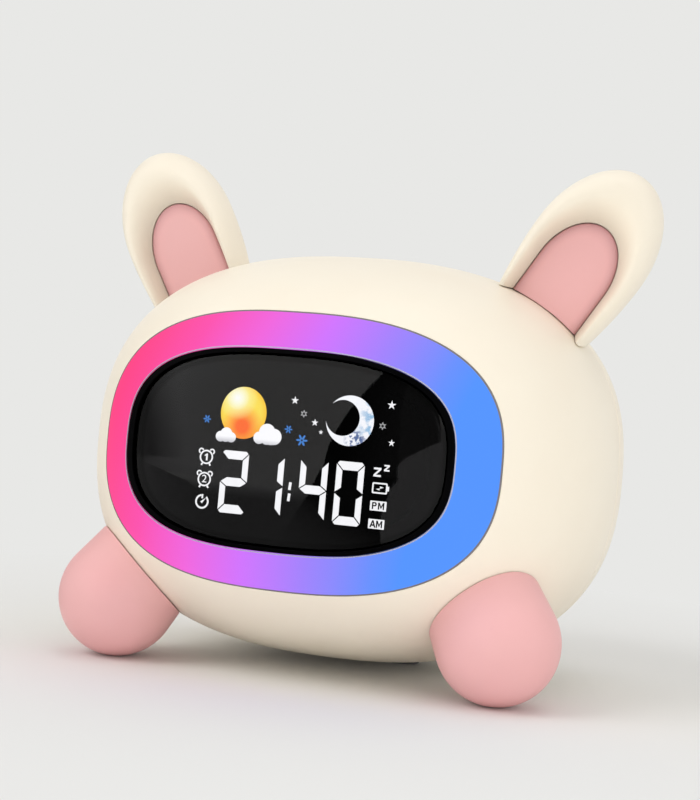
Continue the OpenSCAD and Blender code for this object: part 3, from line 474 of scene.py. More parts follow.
def woven_strands():
    """Parallel strands, ridged round their length: a flat cable or a cone's felt."""
    group, given, gives = new_group(
        "Strands", Color=(0.5, 0.5, 0.5, 1), Groove=(0.2, 0.2, 0.2, 1), Across=(1, 0, 0),
        Pitch=0.001, Roughness=0.6)
    place = own_place(group)
    along = vectors(group, "DOT_PRODUCT", place, given["Across"], "Value")
    turn = maths(group, "MULTIPLY", maths(group, "DIVIDE", along, given["Pitch"]), math.pi)
    wave = maths(group, "ABSOLUTE", maths(group, "SINE", turn))
    fuzz = noise(group, place, 2400.0, 3.0, 0.7)
    groove = map_range(group, wave, 0.0, 0.45, 1, 0)
    worn = map_range(group, fuzz, 0.3, 0.7, -0.08, 0.08)
    fill(group, gives, {"Color": mix_colours(group, groove, given["Color"], given["Groove"]),
                        "Roughness": maths(group, "ADD", given["Roughness"], worn, True),
                        "Normal": bumped(group, maths(group, "ADD", wave, fuzz), 0.4, 0.00008)})
    return group


GROUP_MAKERS = {"moulded": moulded_plastic, "metal": worked_metal, "circuit": printed_circuit,
                "strands": woven_strands}
groups = {}
finishes = {}


def group_node(tree, kind, **values):
    if kind not in groups:
        groups[kind] = GROUP_MAKERS[kind]()
    return fed_node(tree, "ShaderNodeGroup", values, node_tree=groups[kind]).outputs


def bare_tree(data):
    """The emptied node tree of a material or a world."""
    data.use_nodes = True
    data.node_tree.nodes.clear()
    return data.node_tree


def principled(tree):
    return next(n for n in tree.nodes if n.type == "BSDF_PRINCIPLED").inputs


def new_material(name):
    """A finish of the clock: its node tree and the inputs of its Principled shader."""
    material = finishes[name] = bpy.data.materials.new(name)
    material.use_nodes = True
    return material.node_tree, principled(material.node_tree)


def surfaced(name, kind, plain, **values):
    """A finish whose colour, roughness and normal come from one of the shared groups."""
    tree, shader = new_material(name)
    made = group_node(tree, kind, **values)
    for source, target in (("Color", "Base Color"), ("Roughness", "Roughness"),
                           ("Normal", "Normal"), ("Metal", "Metallic")):
        if source in made:
            feed(tree, shader[target], made[source])
    fill(tree, shader, plain)


def ear_axis(tree, axis):
    """Distance along an axis of the nearer ear's own frame, in metres."""
    row = ear_place_matrix(1).inverted()[axis]
    folded = vectors(tree, "ABSOLUTE", own_place(tree))
    # Both ears lie at negative Y, so their folded Y changes its sign
    along = vectors(tree, "DOT_PRODUCT", folded, (row[0], -row[1], row[2]), "Value")
    return maths(tree, "ADD", along, row[3])


def painted_crease_shade(name, low, high, power, shade):
    """Paints shade into a finish towards the line where an ear's liner meets its bowl, where shade
    falls.
    """
    tree = finishes[name].node_tree
    socket = principled(tree)["Base Color"]
    across = maths(tree, "MULTIPLY", ear_axis(tree, 0), 2 / (LINER_W * MM))
    past_waist = maths(tree, "SUBTRACT", ear_axis(tree, 2), LINER_WAIST * MM)
    along = maths(tree, "DIVIDE", maths(tree, "MAXIMUM", past_waist, 0.0),
                  (LINER_LEN - LINER_WAIST) * MM)
    level = maths(tree, "SQRT", maths(tree, "ADD", maths(tree, "MULTIPLY", across, across),
                                      maths(tree, "MULTIPLY", along, along)))
    near = maths(tree, "POWER", map_range(tree, level, low, high), power)
    front = map_range(tree, ear_axis(tree, 1), 0, -MM)
    feed(tree, socket, mix_colours(tree, maths(tree, "MULTIPLY", near, front),
                                   socket.links[0].from_socket, shade, "MULTIPLY"))


# ---------------------------------------------------------------- pieces

def in_scene(name, data, place=None):
    """Puts an object in the scene."""
    made = bpy.data.objects.new(name, data)
    bpy.context.scene.collection.objects.link(made)
    if place is not None:
        made.matrix_world = place
    return made


def give(piece, finish):
    piece.data.materials.clear()
    piece.data.materials.append(finishes[finish])


def add_piece(name, mesh, finish, replaced=(), body=CLOCK, place=BODY_PLACE, baked=True):
    """Puts a mesh in the scene as a piece of the clock. Baked ones lie in the scene's own axes."""
    piece = in_scene(name, mesh, None if baked else place)
    if baked:
        mesh.transform(place)
        if place.determinant() < 0:
            mesh.flip_normals()
    give(piece, finish)
    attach(piece, body)
    if replaced:
        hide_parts(*replaced)
    return piece


def dress(finish, nodes, bevel):
    """Gives CAD nodes their material, and softens their edges where bevel is a width in mm."""
    for name in nodes:
        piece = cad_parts[name]
        give(piece, finish)
        if bevel:
            soft = piece.modifiers.new("Soft edges", "BEVEL")
            soft.width, soft.segments, soft.harden_normals = bevel * MM, 2, True
            soft.limit_method, soft.angle_limit = "ANGLE", math.radians(SOFT_FROM)


def cut_by(piece, cutters):
    """Cuts the cutters' meshes out of a piece."""
    for other in cutters:
        cut = piece.modifiers.new("Cut", "BOOLEAN")
        cut.object, cut.operation, cut.solver = other, "DIFFERENCE", "EXACT"
    bpy.context.view_layer.update()
    seen = bpy.context.evaluated_depsgraph_get()
    mesh = bpy.data.meshes.new_from_object(piece.evaluated_get(seen))
    piece.modifiers.clear()
    piece.data = mesh
    for other in cutters:
        bpy.data.objects.remove(other)
    return mesh


def inside_faces(name, keep):
    """Part of a CAD node's mesh in the body's frame, in mm: faces whose middles keep accepts."""
    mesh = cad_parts[name].data
    points = np.zeros(len(mesh.vertices) * 3)
    mesh.vertices.foreach_get("co", points)
    back = np.array(BODY_PLACE.inverted())
    points = (points.reshape(-1, 3) @ back[:3, :3].T + back[:3, 3]) / MM
    faces = [tuple(face.vertices) for face in mesh.polygons]
    middles = np.array([points[list(face)].mean(0) for face in faces])
    return points, [face for face, good in zip(faces, keep(middles)) if good]


def cutter(line, middle, low, high, carried, place=None):
    """An object to cut with: a closed line round its middle, carried from low to high."""
    ends = [carried(line, depth) for depth in (low, high)]
    skin = Skin().grid(rows_of(*ends))
    for end, depth in zip(ends, (low, high)):
        skin.fan(end, carried(middle, depth))
    return in_scene("cutter", skin.mesh("cutter"), place)


def front_shell_skin():
    edge, tongue = ring_oval(EDGE_GAP), (WALL + EDGE_GAP) / 2
    grid = rows_of(seam(tongue, -SKIN_GAP / 2), seam(tongue, TONGUE_LEN), seam(WALL, TONGUE_LEN),
                   front_run(edge, WALL)[:, 1:], front_run(edge)[:, :0:-1],
                   seam(0, -SKIN_GAP / 2))
    last = grid.shape[1] - 1
    lip = 3 + FRONT_ROWS
    return closed_round(grid, {1: 0.2, 2: 0.2, lip - 1: 0.2, lip: 0.35, last: 0.35})


def back_shell_skin():
    inner_y = LEDGE_BACK - LEDGE_T
    inner_share = (1 - (inner_y / (BACK_DEPTH - WALL)) ** BACK_M) ** (1 / BACK_M)
    outer = back_run(outline(RIM_SHARE))[:, 1:]
    inner = back_run(outline(inner_share, WALL), WALL)[:, :0:-1]
    panel, ledge = outline(PANEL_SHARE), outline(LEDGE_SHARE)
    groove = (WALL - EDGE_GAP) / 2
    grid = rows_of(seam(0, SKIN_GAP / 2), outer, at_depth(panel, BACK_FLAT),
                   at_depth(panel, LEDGE_BACK), at_depth(ledge, LEDGE_BACK),
                   at_depth(ledge, inner_y), inner, seam(WALL, TONGUE_LEN + SKIN_GAP),
                   seam(groove, TONGUE_LEN + SKIN_GAP), seam(groove, SKIN_GAP / 2))
    rim = outer.shape[1]
    return closed_round(grid, {0: 0.35, rim: 1.2, rim + 1: 0.3, rim + 3: 0.3})


def light_ring_skin():
    outer, inner = ring_oval(), window_oval()
    lip = ring_oval(RING_LIP)
    share = np.linspace(1, 0, 13)
    face = np.stack([at_front(mix(outer, inner, f)) for f in share], 1)
    back = np.stack([at_front(mix(outer, inner, f), RING_T) for f in share[::-1]], 1)
    grid = rows_of(face, at_front(outer, WALL, SKIN_GAP), at_front(lip, WALL, SKIN_GAP),
                   at_front(lip, RING_T), back)
    return closed_round(grid, {0: 0.4, 12: 0.45, 14: 0.2})


def ring_line_skin(line, out, inner, deep=0.3, proud=0.02):
    """A painted shade or highlight line along one edge of the ring, out and in from its outline by
    so much.
    """
    outer, inner = line(out), line(inner)
    return closed_round(rows_of(at_front(outer, 0, deep), at_front(outer, 0, -proud),
                                at_front(inner, 0, -proud), at_front(inner, 0, deep)))


def display_rim_skin():
    floor_y = float(front_y(np.array([RING_W / 2 + RING_LIP, RING_UP]))) + RING_T + RIM_FOOT
    outer = window_oval(-EDGE_GAP)
    inner = oval(WINDOW_W / 2 - EDGE_GAP - RIM_END_W, WINDOW_H / 2 - EDGE_GAP - RIM_W,
                 WINDOW_N) + (RIM_SHIFT, RING_UP)
    rebate = window_oval(-EDGE_GAP - RIM_REBATE)
    face = np.stack([at_front(mix(inner, outer, f)) for f in np.linspace(0, 1, 9)], 1)
    grid = rows_of(at_depth(outer, floor_y), at_depth(rebate, floor_y),
                   at_front(rebate, LENS_SINK), at_front(inner, LENS_SINK), face)
    return closed_round(grid, {3: 0.2, 4: 0.6, grid.shape[1] - 1: 0.5})


def lens_skin():
    front, rear = LENS_SINK + SEAT_GAP, LENS_SINK + SEAT_GAP + LENS_T
    middle = np.array([0.0, RING_UP])
    edge = window_oval(-EDGE_GAP - RIM_REBATE - SEAT_GAP)
    share = np.linspace(0, 1, 25)[1:]
    faces = [at_front(mix(middle, edge, f), front) for f in share]
    backs = [at_front(mix(middle, edge, f), rear) for f in share[::-1]]
    grid = np.stack(faces + backs, 1)
    return Skin().grid(grid).fan(grid[:, 0], at_front(middle, front)).fan(
        grid[:, -1], at_front(middle, rear))


# Ears: their own frame has X across them, Y towards their back and Z up their length

def ear_matrix():
    p = outline(t=np.array(EAR_PLACE))
    root = at_depth(p * (1 - EAR_SINK / np.linalg.norm(p)), -EAR_FORWARD)
    turn = (Matrix.Rotation(EAR_YAW, 3, "Z") @ Matrix.Rotation(-EAR_PITCH, 3, "X")
            @ Matrix.Rotation(EAR_SPLAY, 3, "Y"))
    return np.array(turn), root


EAR_TURN, EAR_ROOT = ear_matrix()


def from_ear(p):
    return p @ EAR_TURN.T + EAR_ROOT


def ear_foot(x, y):
    """Height up the ear at which its points (x, y) meet the body."""
    def inside(z):
        return body_level(from_ear(np.stack([x, y, z], -1)), SKIN_GAP) < 1
    return bisect(inside, np.full(x.shape, -EAR_T), np.full(x.shape, EAR_T / 2))


def ear_half(z):
    low = EAR_W / 2 - (EAR_W - EAR_ROOT_W) / 2 * ((EAR_WAIST - z) / EAR_WAIST) ** 2
    high = EAR_W / 2 * np.sqrt(np.maximum(0, 1 - ((z - EAR_WAIST) / (EAR_LEN - EAR_WAIST)) ** 2))
    return np.where(z < EAR_WAIST, low, high)


def ear_level(x, z):
    low = np.abs(x) / np.maximum(ear_half(np.minimum(z, EAR_WAIST)), 0.01)
    high = np.hypot(x / (EAR_W / 2), (z - EAR_WAIST) / (EAR_LEN - EAR_WAIST))
    return np.where(z < EAR_WAIST, low, high)


def liner_level(x, z):
    return np.hypot(x / (LINER_W / 2), np.maximum(0, z - LINER_WAIST) / (LINER_LEN - LINER_WAIST))


def ear_front(x, z):
    """How far the bowl and the rim round it stand in front of the ear's middle plane."""
    past = np.maximum(0, liner_level(x, z) - 1) * LINER_W
    to_edge = np.maximum(0, 1 - ear_level(x, z)) * EAR_W
    f = past / np.maximum(0.001, past + to_edge)
    rim = EAR_T / 2 * np.sqrt(np.maximum(0, 1 - ((f - RIM_PEAK) / (1 - RIM_PEAK)) ** 2))
    climb = np.sin(np.minimum(f / RIM_PEAK, 1) * math.pi / 2) ** BOWL_RISE
    return np.where(f > RIM_PEAK, rim, LINER_FLOOR + BOWL_DEPTH * climb)


def ear_back(x, z):
    inside = np.maximum(0, 1 - np.minimum(ear_level(x, z), 1) ** EAR_ROUND)
    return EAR_T / 2 * inside ** (1 / EAR_ROUND)


def ear_lines(steps=150):
    """Matching points of the ear's outline and the liner's, from one foot round to the other."""
    def arch(half_w, waist, top, half=None):
        side = np.linspace(0, waist, 40, endpoint=False)
        a = np.linspace(0, math.pi, 160)
        x = half(side) if half else np.full(40, half_w)
        arc = np.stack([half_w * np.cos(a), waist + (top - waist) * np.sin(a)], -1)
        line = np.vstack([np.stack([x, side], -1), arc, np.stack([-x, side], -1)[::-1]])
        run = np.concatenate([[0], np.cumsum(np.linalg.norm(np.diff(line, axis=0), axis=1))])
        at = np.linspace(0, run[-1], steps + 1)
        return np.stack([np.interp(at, run, line[:, 0]), np.interp(at, run, line[:, 1])], -1)
    return (arch(EAR_W / 2, EAR_WAIST, EAR_LEN, ear_half),
            arch(LINER_W / 2, LINER_WAIST, LINER_LEN))


def landed(grid, reach=11.0):
    """Slides the low part of an ear's grid along its length, so that its foot meets the body."""
    x, y, z = np.moveaxis(grid, -1, 0)
    return np.stack([x, y, z + ear_foot(x, y) * np.clip(1 - z / reach, 0, 1)], -1)


def ear_skin():
    edge, liner = ear_lines()
    spine = np.stack([np.zeros(len(edge)), edge[:, 1] * 0.45], -1)
    pocket = np.stack([np.zeros(len(edge)), liner[:, 1] * 0.5], -1)
    rows = []
    for f in (0, 0.5, 1):
        rows.append(at_depth(mix(pocket, liner, f), LINER_T - LINER_FLOOR))
    rows.append(at_depth(liner, mix(LINER_T, 0, 0.5) - LINER_FLOOR))
    for g in np.concatenate([[0, 0.01], np.linspace(0.03, 0.55, 14), 1 - np.linspace(
            0.45, 0, 12) ** 1.6 / 0.45 ** 0.6]):
        p = mix(liner, edge, g)
        rows.append(at_depth(p, -ear_front(p[:, 0], p[:, 1])))
    rows[-1] = at_depth(edge, 0)
    for h in np.linspace(0, 1, 22)[1:] ** 1.7:
        p = mix(edge, spine, h)
        rows.append(at_depth(p, ear_back(p[:, 0], p[:, 1])))
    return Skin().grid(landed(np.stack(rows, 1)), wrap_rows=False)


def liner_skin():
    _, line = ear_lines()
    inner = line * ((LINER_W / 2 - SEAT_GAP) / (LINER_W / 2), 1)
    inner[:, 1] = np.minimum(inner[:, 1], line[:, 1] * (1 - SEAT_GAP / LINER_LEN))
    spine = np.stack([np.zeros(len(inner)), inner[:, 1] * 0.5], -1)
    face, back = -LINER_FLOOR, LINER_T - LINER_FLOOR
    rows = [at_depth(mix(spine, inner, f), back) for f in (0, 0.5, 1)]
    rows.append(at_depth(inner, mix(face, back, 0.5)))
    for a in np.linspace(0, 1, 7) * math.pi / 2:
        rows.append(at_depth(mix(inner, spine, LINER_EDGE * (1 - math.cos(a))),
                             face + LINER_SINK - LINER_ROUND * math.sin(a)))
    for f in np.linspace(0, 1, 8)[1:]:
        p = mix(mix(inner, spine, LINER_EDGE), spine, f)
        rows.append(at_depth(p, face + LINER_SINK - LINER_ROUND
                             - LINER_CROWN * math.sin(f * math.pi / 2)))
    return Skin().grid(landed(np.stack(rows, 1)), wrap_rows=False)


def ear_place_matrix(side):
    turn = Matrix(EAR_TURN.tolist()).to_4x4()
    place = Matrix.Translation(Vector(EAR_ROOT * MM)) @ turn
    return BODY_PLACE @ Matrix.Scale(side, 4, (1, 0, 0)) @ place


# Feet: a ball with a neck that tapers into the body

def leg_frame():
    y, z = -FOOT_FORWARD, FOOT_R - FOOT_FLAT - BODY_UP
    middle = np.array([BODY_W / 2 - FOOT_INSET, y * math.cos(LEAN) - z * math.sin(LEAN),
                       y * math.sin(LEAN) + z * math.cos(LEAN)])
    axis = np.array([-math.sin(LEG_TURN) * math.cos(LEG_RISE),
                     math.cos(LEG_TURN) * math.cos(LEG_RISE), math.sin(LEG_RISE)])
    across = np.cross(axis, (0, 0, 1))
    across /= np.linalg.norm(across)
    return middle, axis, across, np.cross(across, axis)


def foot_skin(columns=112):
    middle, axis, across, up = leg_frame()
    t = round_turn(columns)
    side = np.cos(t)[:, None] * across + np.sin(t)[:, None] * up
    arc = FOOT_R * (math.pi / 2 + LEG_TAPER)
    neck = axis * math.cos(LEG_TAPER) - side * math.sin(LEG_TAPER)

    def point(s):
        a = np.minimum(s, arc)[:, None] / FOOT_R
        return (middle + FOOT_R * (side * np.sin(a) - axis * np.cos(a))
                + np.maximum(0, s - arc)[:, None] * neck)

    def outside(p):
        return body_level(p, SKIN_GAP) > 1

    end = bisect(lambda s: outside(point(s)), np.zeros(columns), np.full(columns, 4 * FOOT_R))
    ball = [point(np.full(columns, arc * j / 36)) for j in range(1, 37)]
    shank = [point(arc + (end - arc) * j / 6) for j in range(1, 7)]
    top = middle + axis * bisect(lambda s: outside(middle + axis * s[..., None]),
                                 np.array(0.0), np.array(4.0 * FOOT_R))
    cap = []
    for share in (1 / 3, 2 / 3):
        p = mix(shank[-1], top, share)
        cap.append(p + axis * bisect(
            lambda s, p=p: outside(p + axis * s[:, None]),
            np.full(columns, -2.0 * FOOT_R), np.full(columns, 2.0 * FOOT_R))[:, None])
    grid = np.stack(ball + shank + cap, 1)
    pole = middle - FOOT_R * axis
    skin = Skin().grid(grid).fan(grid[:, 0], pole).fan(grid[:, -1], top)
    place = np.array(BODY_PLACE)
    skin.points = [points @ place[:3, :3].T + place[:3, 3] / MM for points in skin.points]
    for points in skin.points:
        points[:, 2] = np.maximum(points[:, 2], 0)
    return skin


def button_skin():
    """A push button, turned about its own axis, with a flange and a crowned top."""
    r, top = BUTTON_D / 2, PANEL_OUT + BUTTON_PROUD
    shoulder, flat = top - BUTTON_ROUND - BUTTON_CROWN, r - BUTTON_ROUND
    profile = [(0.0, FLANGE_Y), (r + FLANGE_W, FLANGE_Y), (r + FLANGE_W, FLANGE_Y + FLANGE_T),
               (r, FLANGE_Y + FLANGE_T), (r, shoulder)]
    for a in np.linspace(0, math.pi / 2, 7)[1:]:
        profile.append((flat + BUTTON_ROUND * math.cos(a), shoulder + BUTTON_ROUND * math.sin(a)))
    for f in np.linspace(1, 0, 7)[1:]:
        profile.append((flat * f, top - BUTTON_CROWN * f ** 2))
    return Skin().grid(np.stack([at_depth(polar(round_turn(64), x), y) for x, y in profile], 1))


# ---------------------------------------------------------------- display graphics

def circle_line(centre, r, sides=48):
    return polar(round_turn(sides), r, centre)


def bar(start, end, width):
    """Rectangle along the line from start to end."""
    a, b = np.array(start, float), np.array(end, float)
    d = (b - a) / np.linalg.norm(b - a) * width / 2
    n = np.array([-d[1], d[0]])
    return np.array([a + n, b + n, b - n, a - n])


def arc_band(centre, r, width, start, end, steps):
    """Part of a ring, between two angles in degrees."""
    t = np.radians(np.linspace(start, end, steps))
    return np.vstack([polar(t, r + width / 2), polar(t, r - width / 2)[::-1]]) + centre


def star_line(centre, r, waist=0.37, points=5):
    t = math.pi / 2 + np.arange(2 * points) * math.pi / points
    return polar(t, np.where(np.arange(2 * points) % 2, waist, 1) * r, centre)


def union_line(centre, circles, steps=160):
    """Outline of overlapping circles, all seen from one centre."""
    d = polar(round_turn(steps))
    far = np.zeros(steps)
    for x, z, r in circles:
        gap = np.array([x, z]) - centre
        along = d @ gap
        room = r * r - (gap @ gap - along ** 2)
        far = np.maximum(far, np.where(room > 0, along + np.sqrt(np.maximum(room, 0)), 0))
    return centre + d * far[:, None]


def rounded_box(centre, w, h, r, steps=6):
    line = []
    for k, (sx, sz) in enumerate(((1, 1), (-1, 1), (-1, -1), (1, -1))):
        for a in np.radians(np.linspace(90 * k, 90 * k + 90, steps)):
            line.append((centre[0] + sx * (w / 2 - r) + r * math.cos(a),
                         centre[1] + sz * (h / 2 - r) + r * math.sin(a)))
    return np.array(line)


def plate_mesh(name, shapes):
    """A thin plate of shapes. Each is a list of closed lines, and a line in another cuts it."""
    curves = []
    for lines in shapes:
        curve = bpy.data.curves.new(name, "CURVE")
        curve.dimensions, curve.fill_mode = "2D", "BOTH"
        for line in lines:
            spline = curve.splines.new("POLY")
            spline.points.add(len(line) - 1)
            for point, (x, z) in zip(spline.points, line):
                point.co = (x * MM, z * MM, 0, 1)
            spline.use_cyclic_u = True
        curves.append(curve)
    return plate_from(name, curves)


def word_mesh(name, word, centre, size, squeeze):
    """A word in the built-in type round its middle, with its width times squeeze."""
    curve = bpy.data.curves.new(name, "FONT")
    curve.body, curve.size = word, size * MM
    curve.align_x, curve.align_y = "CENTER", "CENTER"
    return plate_from(name, [curve], Matrix.Translation((centre[0] * MM, centre[1] * MM, 0))
                      @ Matrix.Diagonal((squeeze, 1, 1, 1)))


def plate_from(name, curves, place=Matrix()):
    """One mesh of filled curves, a thin plate's thickness deep."""
    bm = bmesh.new()
    for curve in curves:
        curve.extrude = PLATE_T * MM / 2
        holder = bpy.data.objects.new("curve", curve)
        filled = bpy.data.meshes.new_from_object(holder)
        filled.transform(place)
        bm.from_mesh(filled)
        bpy.data.objects.remove(holder)
        bpy.data.meshes.remove(filled)
    bmesh.ops.remove_doubles(bm, verts=bm.verts, dist=WELD / 2)
    mesh = bpy.data.meshes.new(name)
    write_out(bm, mesh)
    return mesh


def display_place(layer):
    """Plane of the lit face, with X across, Y up it and Z towards the viewer."""
    lift = Matrix.Translation((DISPLAY_SHIFT * MM,
                               -(DISPLAY_Y + PLATE_T + LAYER_GAP * layer) * MM, 0))
    return BODY_PLACE @ lift @ Matrix.Rotation(math.pi / 2, 4, "X")


SEGMENTS = {"0": "abcdef", "1": "bc", "2": "abged", "3": "abgcd", "4": "fgbc", "5": "afgcd",
            "6": "afgedc", "7": "abc", "8": "abcdefg", "9": "abcdfg"}


def digit_lines(centre, digit, w=6.8, h=14.7, stem=1.45, beam=2.0, gap=0.19, cut=0.5):
    """Seven-segment figure: one closed line for each lit segment."""
    x, z = w / 2, h / 2
    top = [(-x + gap, z - cut), (-x + gap + cut, z), (x - gap - cut, z), (x - gap, z - cut),
           (x - stem - gap, z - beam), (-x + stem + gap, z - beam)]
    right = [(x, z - gap - cut), (x, gap), (x - stem, beam / 2 + gap), (x - stem, z - beam - gap)]
    middle = [(-x + gap, 0), (-x + stem + gap, beam / 2), (x - stem - gap, beam / 2),
              (x - gap, 0), (x - stem - gap, -beam / 2), (-x + stem + gap, -beam / 2)]
    lines = {"a": (top, 1, 1), "b": (right, 1, 1), "c": (right, 1, -1), "d": (top, 1, -1),
             "e": (right, -1, -1), "f": (right, -1, 1), "g": (middle, 1, 1)}
    return [np.array([(centre[0] + px * sx, centre[1] + pz * sz) for px, pz in line])
            for line, sx, sz in (lines[s] for s in SEGMENTS[digit])]


def alarm_lines(c):
    """A round clock with two bells and two feet."""
    shapes = [[circle_line(c, 1.7), circle_line(c, 1.34)]]
    for side in (-1, 1):
        shapes.append([arc_band((c[0] + side * 1.36, c[1] + 1.36), 0.55, 0.32,
                                90 - side * 45 - 108, 90 - side * 45 + 108, 16)])
        foot = np.array([side * math.cos(math.radians(60)), -math.sin(math.radians(60))])
        shapes.append([bar(c + foot * 1.72, c + foot * 2.3, 0.4)])
    return shapes


def zed_line(x, z, w, h, t):
    d = t * 1.35
    return np.array([(0, h), (w, h), (w, h - t), (d, t), (w, t), (w, 0), (0, 0), (0, t),
                     (w - d, h - t), (0, h - t)]) + (x, z)


def block_letter(word, x, z, h=1.64, t=0.33):
    """The block letter A, M or P from its lower left corner: its outline, then its hole."""
    w = {"A": 1.5, "M": 1.5, "P": 1.15}[word]
    lean, foot = w / 2 - 0.55 * t, 1.1 * t
    lines = {
        "M": [[(0, 0), (0, h), (foot, h), (w / 2, 0.45 * h), (w - foot, h), (w, h), (w, 0),
               (w - t, 0), (w - t, 0.62 * h), (w / 2, 0.08 * h), (t, 0.62 * h), (t, 0)]],
        "A": [[(0, 0), (lean, h), (w - lean, h), (w, 0), (w - foot, 0),
               (w - foot - 0.22 * lean, 0.22 * h), (foot + 0.22 * lean, 0.22 * h), (foot, 0)],
              [(foot + 0.42 * lean, 0.42 * h), (w - foot - 0.42 * lean, 0.42 * h),
               (w / 2, 0.72 * h)]],
        "P": [[(0, 0), (0, h), (0.62 * w, h), (0.9 * w, 0.92 * h), (w, 0.71 * h),
               (0.9 * w, 0.48 * h), (0.62 * w, 0.4 * h), (t, 0.4 * h), (t, 0)],
              [(t, h - 0.85 * t), (0.58 * w, h - 0.85 * t), (w - t, 0.71 * h),
               (0.58 * w, 0.4 * h + 0.85 * t), (t, 0.4 * h + 0.85 * t)]]}[word]
    return [np.array(line) + (x, z) for line in lines]


def crescent_line(outer, r_outer, inner, r_inner, steps=60):
    """A crescent between an outer circle and the circle that bites into it."""
    gap = np.array(inner) - outer
    d = np.linalg.norm(gap)
    reach = (d * d + r_outer ** 2 - r_inner ** 2) / (2 * d)
    half = math.acos(reach / r_outer)
    a = math.atan2(gap[1], gap[0]) + np.linspace(half, 2 * math.pi - half, steps)
    far = polar(a, r_outer, outer)
    return np.vstack([far, bite_arc(inner, r_inner, far[-1], far[0], steps)])


def bite_arc(centre, r, start, end, steps):
    """Arc of a circle from start to end the long way round, without its two ends."""
    a = math.atan2(start[1] - centre[1], start[0] - centre[0])
    b = math.atan2(end[1] - centre[1], end[0] - centre[0])
    while b > a:
        b -= 2 * math.pi
    return polar(np.linspace(a, b, steps)[1:-1], r, centre)


def flake_lines(c, r):
    """A snowflake: six broad arms round a dark middle."""
    t = round_turn(96)
    return [polar(t, r * (0.66 + 0.34 * np.cos(6 * t)), c), circle_line(c, r * 0.17, 16)]


# ---------------------------------------------------------------- settings

class ClockSettings(bpy.types.PropertyGroup):
    """Sizes and colours that a user may change."""

    shell_colour: bpy.props.FloatVectorProperty(
        name="Shell", description="Colour of the two shells and the ears",
        default=srgb(249, 240, 222)[:3], subtype="COLOR", size=3, min=0, max=1)
    shell_shade: bpy.props.FloatVectorProperty(
        name="Shell mottle", description="Darker tone mottled into the shells",
        default=srgb(245, 233, 213)[:3], subtype="COLOR", size=3, min=0, max=1)
    pink_colour: bpy.props.FloatVectorProperty(
        name="Feet and liners", description="Colour of the feet, the liners and the buttons",
        default=srgb(238, 182, 181)[:3], subtype="COLOR", size=3, min=0, max=1)
    pink_shade: bpy.props.FloatVectorProperty(
        name="Pink mottle", description="Darker tone mottled into the pink pieces",
        default=srgb(229, 168, 167)[:3], subtype="COLOR", size=3, min=0, max=1)
    glow_strength: bpy.props.FloatProperty(
        name="Ring glow", description="Strength of the light ring's glow", default=0.98,
        min=0, max=10)
    display_strength: bpy.props.FloatProperty(
        name="Display glow", description="Strength of the lit figures behind the lens",
        default=3.2, min=0, max=10)
    digits: bpy.props.StringProperty(
        name="Time", description="Four figures shown on the display", default="2140", maxlen=4)
    key_power: bpy.props.FloatProperty(
        name="Key lamp", description="Power of the main soft lamp", default=4.55, unit="POWER",
        min=0)
    backdrop: bpy.props.FloatVectorProperty(
        name="Backdrop", description="Colour of the floor and the backdrop",
        default=srgb(232, 232, 230)[:3], subtype="COLOR", size=3, min=0, max=1)
    floor_size: bpy.props.FloatProperty(
        name="Floor", description="Half the width of the floor", default=6.0, unit="LENGTH",
        subtype="DISTANCE", min=0.5)


def settings():
    return bpy.context.scene.clock_settings


def opaque(colour):
    return (*colour, 1.0)


# ---------------------------------------------------------------- operators

# Moulded finishes: name, colour and mottle (of the settings or on the screen), the group's
# numbers and what the shader has besides
MOULDED_NUMBERS = ("Mottle", "Roughness", "Spread", "Grain", "Depth")
MOULDED = (
    ("Cream shell", "shell", (0.3, 0.44, 0.05, 1500.0, 0.00002),
     {"Coat Weight": 0.12, "Coat Roughness": 0.3}),
    ("Ear shell", "shell", (0.3, 0.44, 0.05, 1500.0, 0.00002),
     {"Coat Weight": 0.12, "Coat Roughness": 0.3}),
    ("Pink foot", "pink", (0.35, 0.5, 0.06, 1900.0, 0.00003),
     {"Coat Weight": 0.1, "Coat Roughness": 0.35}),
    ("Pink liner", "pink", (0.3, 0.62, 0.06, 2400.0, 0.00004), {"Sheen Weight": 0.15}),
    ("Pink button", "pink", (0.25, 0.48, 0.05, 2000.0, 0.00002), {}),
    # Painted shade: a dark line along the ring's outer edge, for the shade in its gap to the shell
    ("Ring painted gap shade", ((126, 120, 122), (106, 101, 103)),
     (0.4, 0.5, 0.05, 1500.0, 0.00001), {}),
    # Painted highlight: a pale line along the ring's inner edge, for the light that this edge
    # catches
    ("Ring painted edge highlight", ((178, 178, 200), (160, 160, 182)),
     (0.4, 0.3, 0.05, 1500.0, 0.00001), {}),
    ("Black rim", ((4, 4, 5), (7, 7, 8)), (0.4, 0.3, 0.06, 1200.0, 0.00001),
     {"Specular IOR Level": 0.02}),
    ("Display black", ((6, 6, 7), (9, 9, 10)), (0.4, 0.6, 0.05, 2600.0, 0.00001),
     {"Specular IOR Level": 0.0}),
    ("Black plastic", ((32, 32, 34), (44, 44, 46)), (0.5, 0.5, 0.1, 1800.0, 0.00004), {}),
    ("White plastic", ((238, 238, 234), (222, 221, 214)), (0.5, 0.4, 0.08, 1400.0, 0.00003), {}),
    ("Rubber pad", ((84, 84, 88), (104, 103, 102)), (0.6, 0.82, 0.08, 900.0, 0.00012), {}),
    ("Cell sleeve", ((40, 92, 160), (30, 74, 138)), (0.6, 0.35, 0.08, 700.0, 0.00005),
     {"Coat Weight": 0.5, "Coat Roughness": 0.1}),
    ("Diode", ((250, 226, 150), (240, 200, 110)), (0.6, 0.3, 0.05, 3000.0, 0.00002),
     {"Emission Color": srgb(255, 244, 220), "Emission Strength": 0.6}),
)
# The ring's sweep of colour, by its share of the way
RING_SWEEP = (
    (0.0, (255, 70, 136)), (0.09, (253, 76, 150)), (0.22, (252, 83, 176)),
    (0.39, (241, 103, 222)), (0.56, (209, 118, 254)), (0.73, (163, 132, 253)),
    (0.90, (107, 146, 254)), (0.97, (87, 150, 255)))


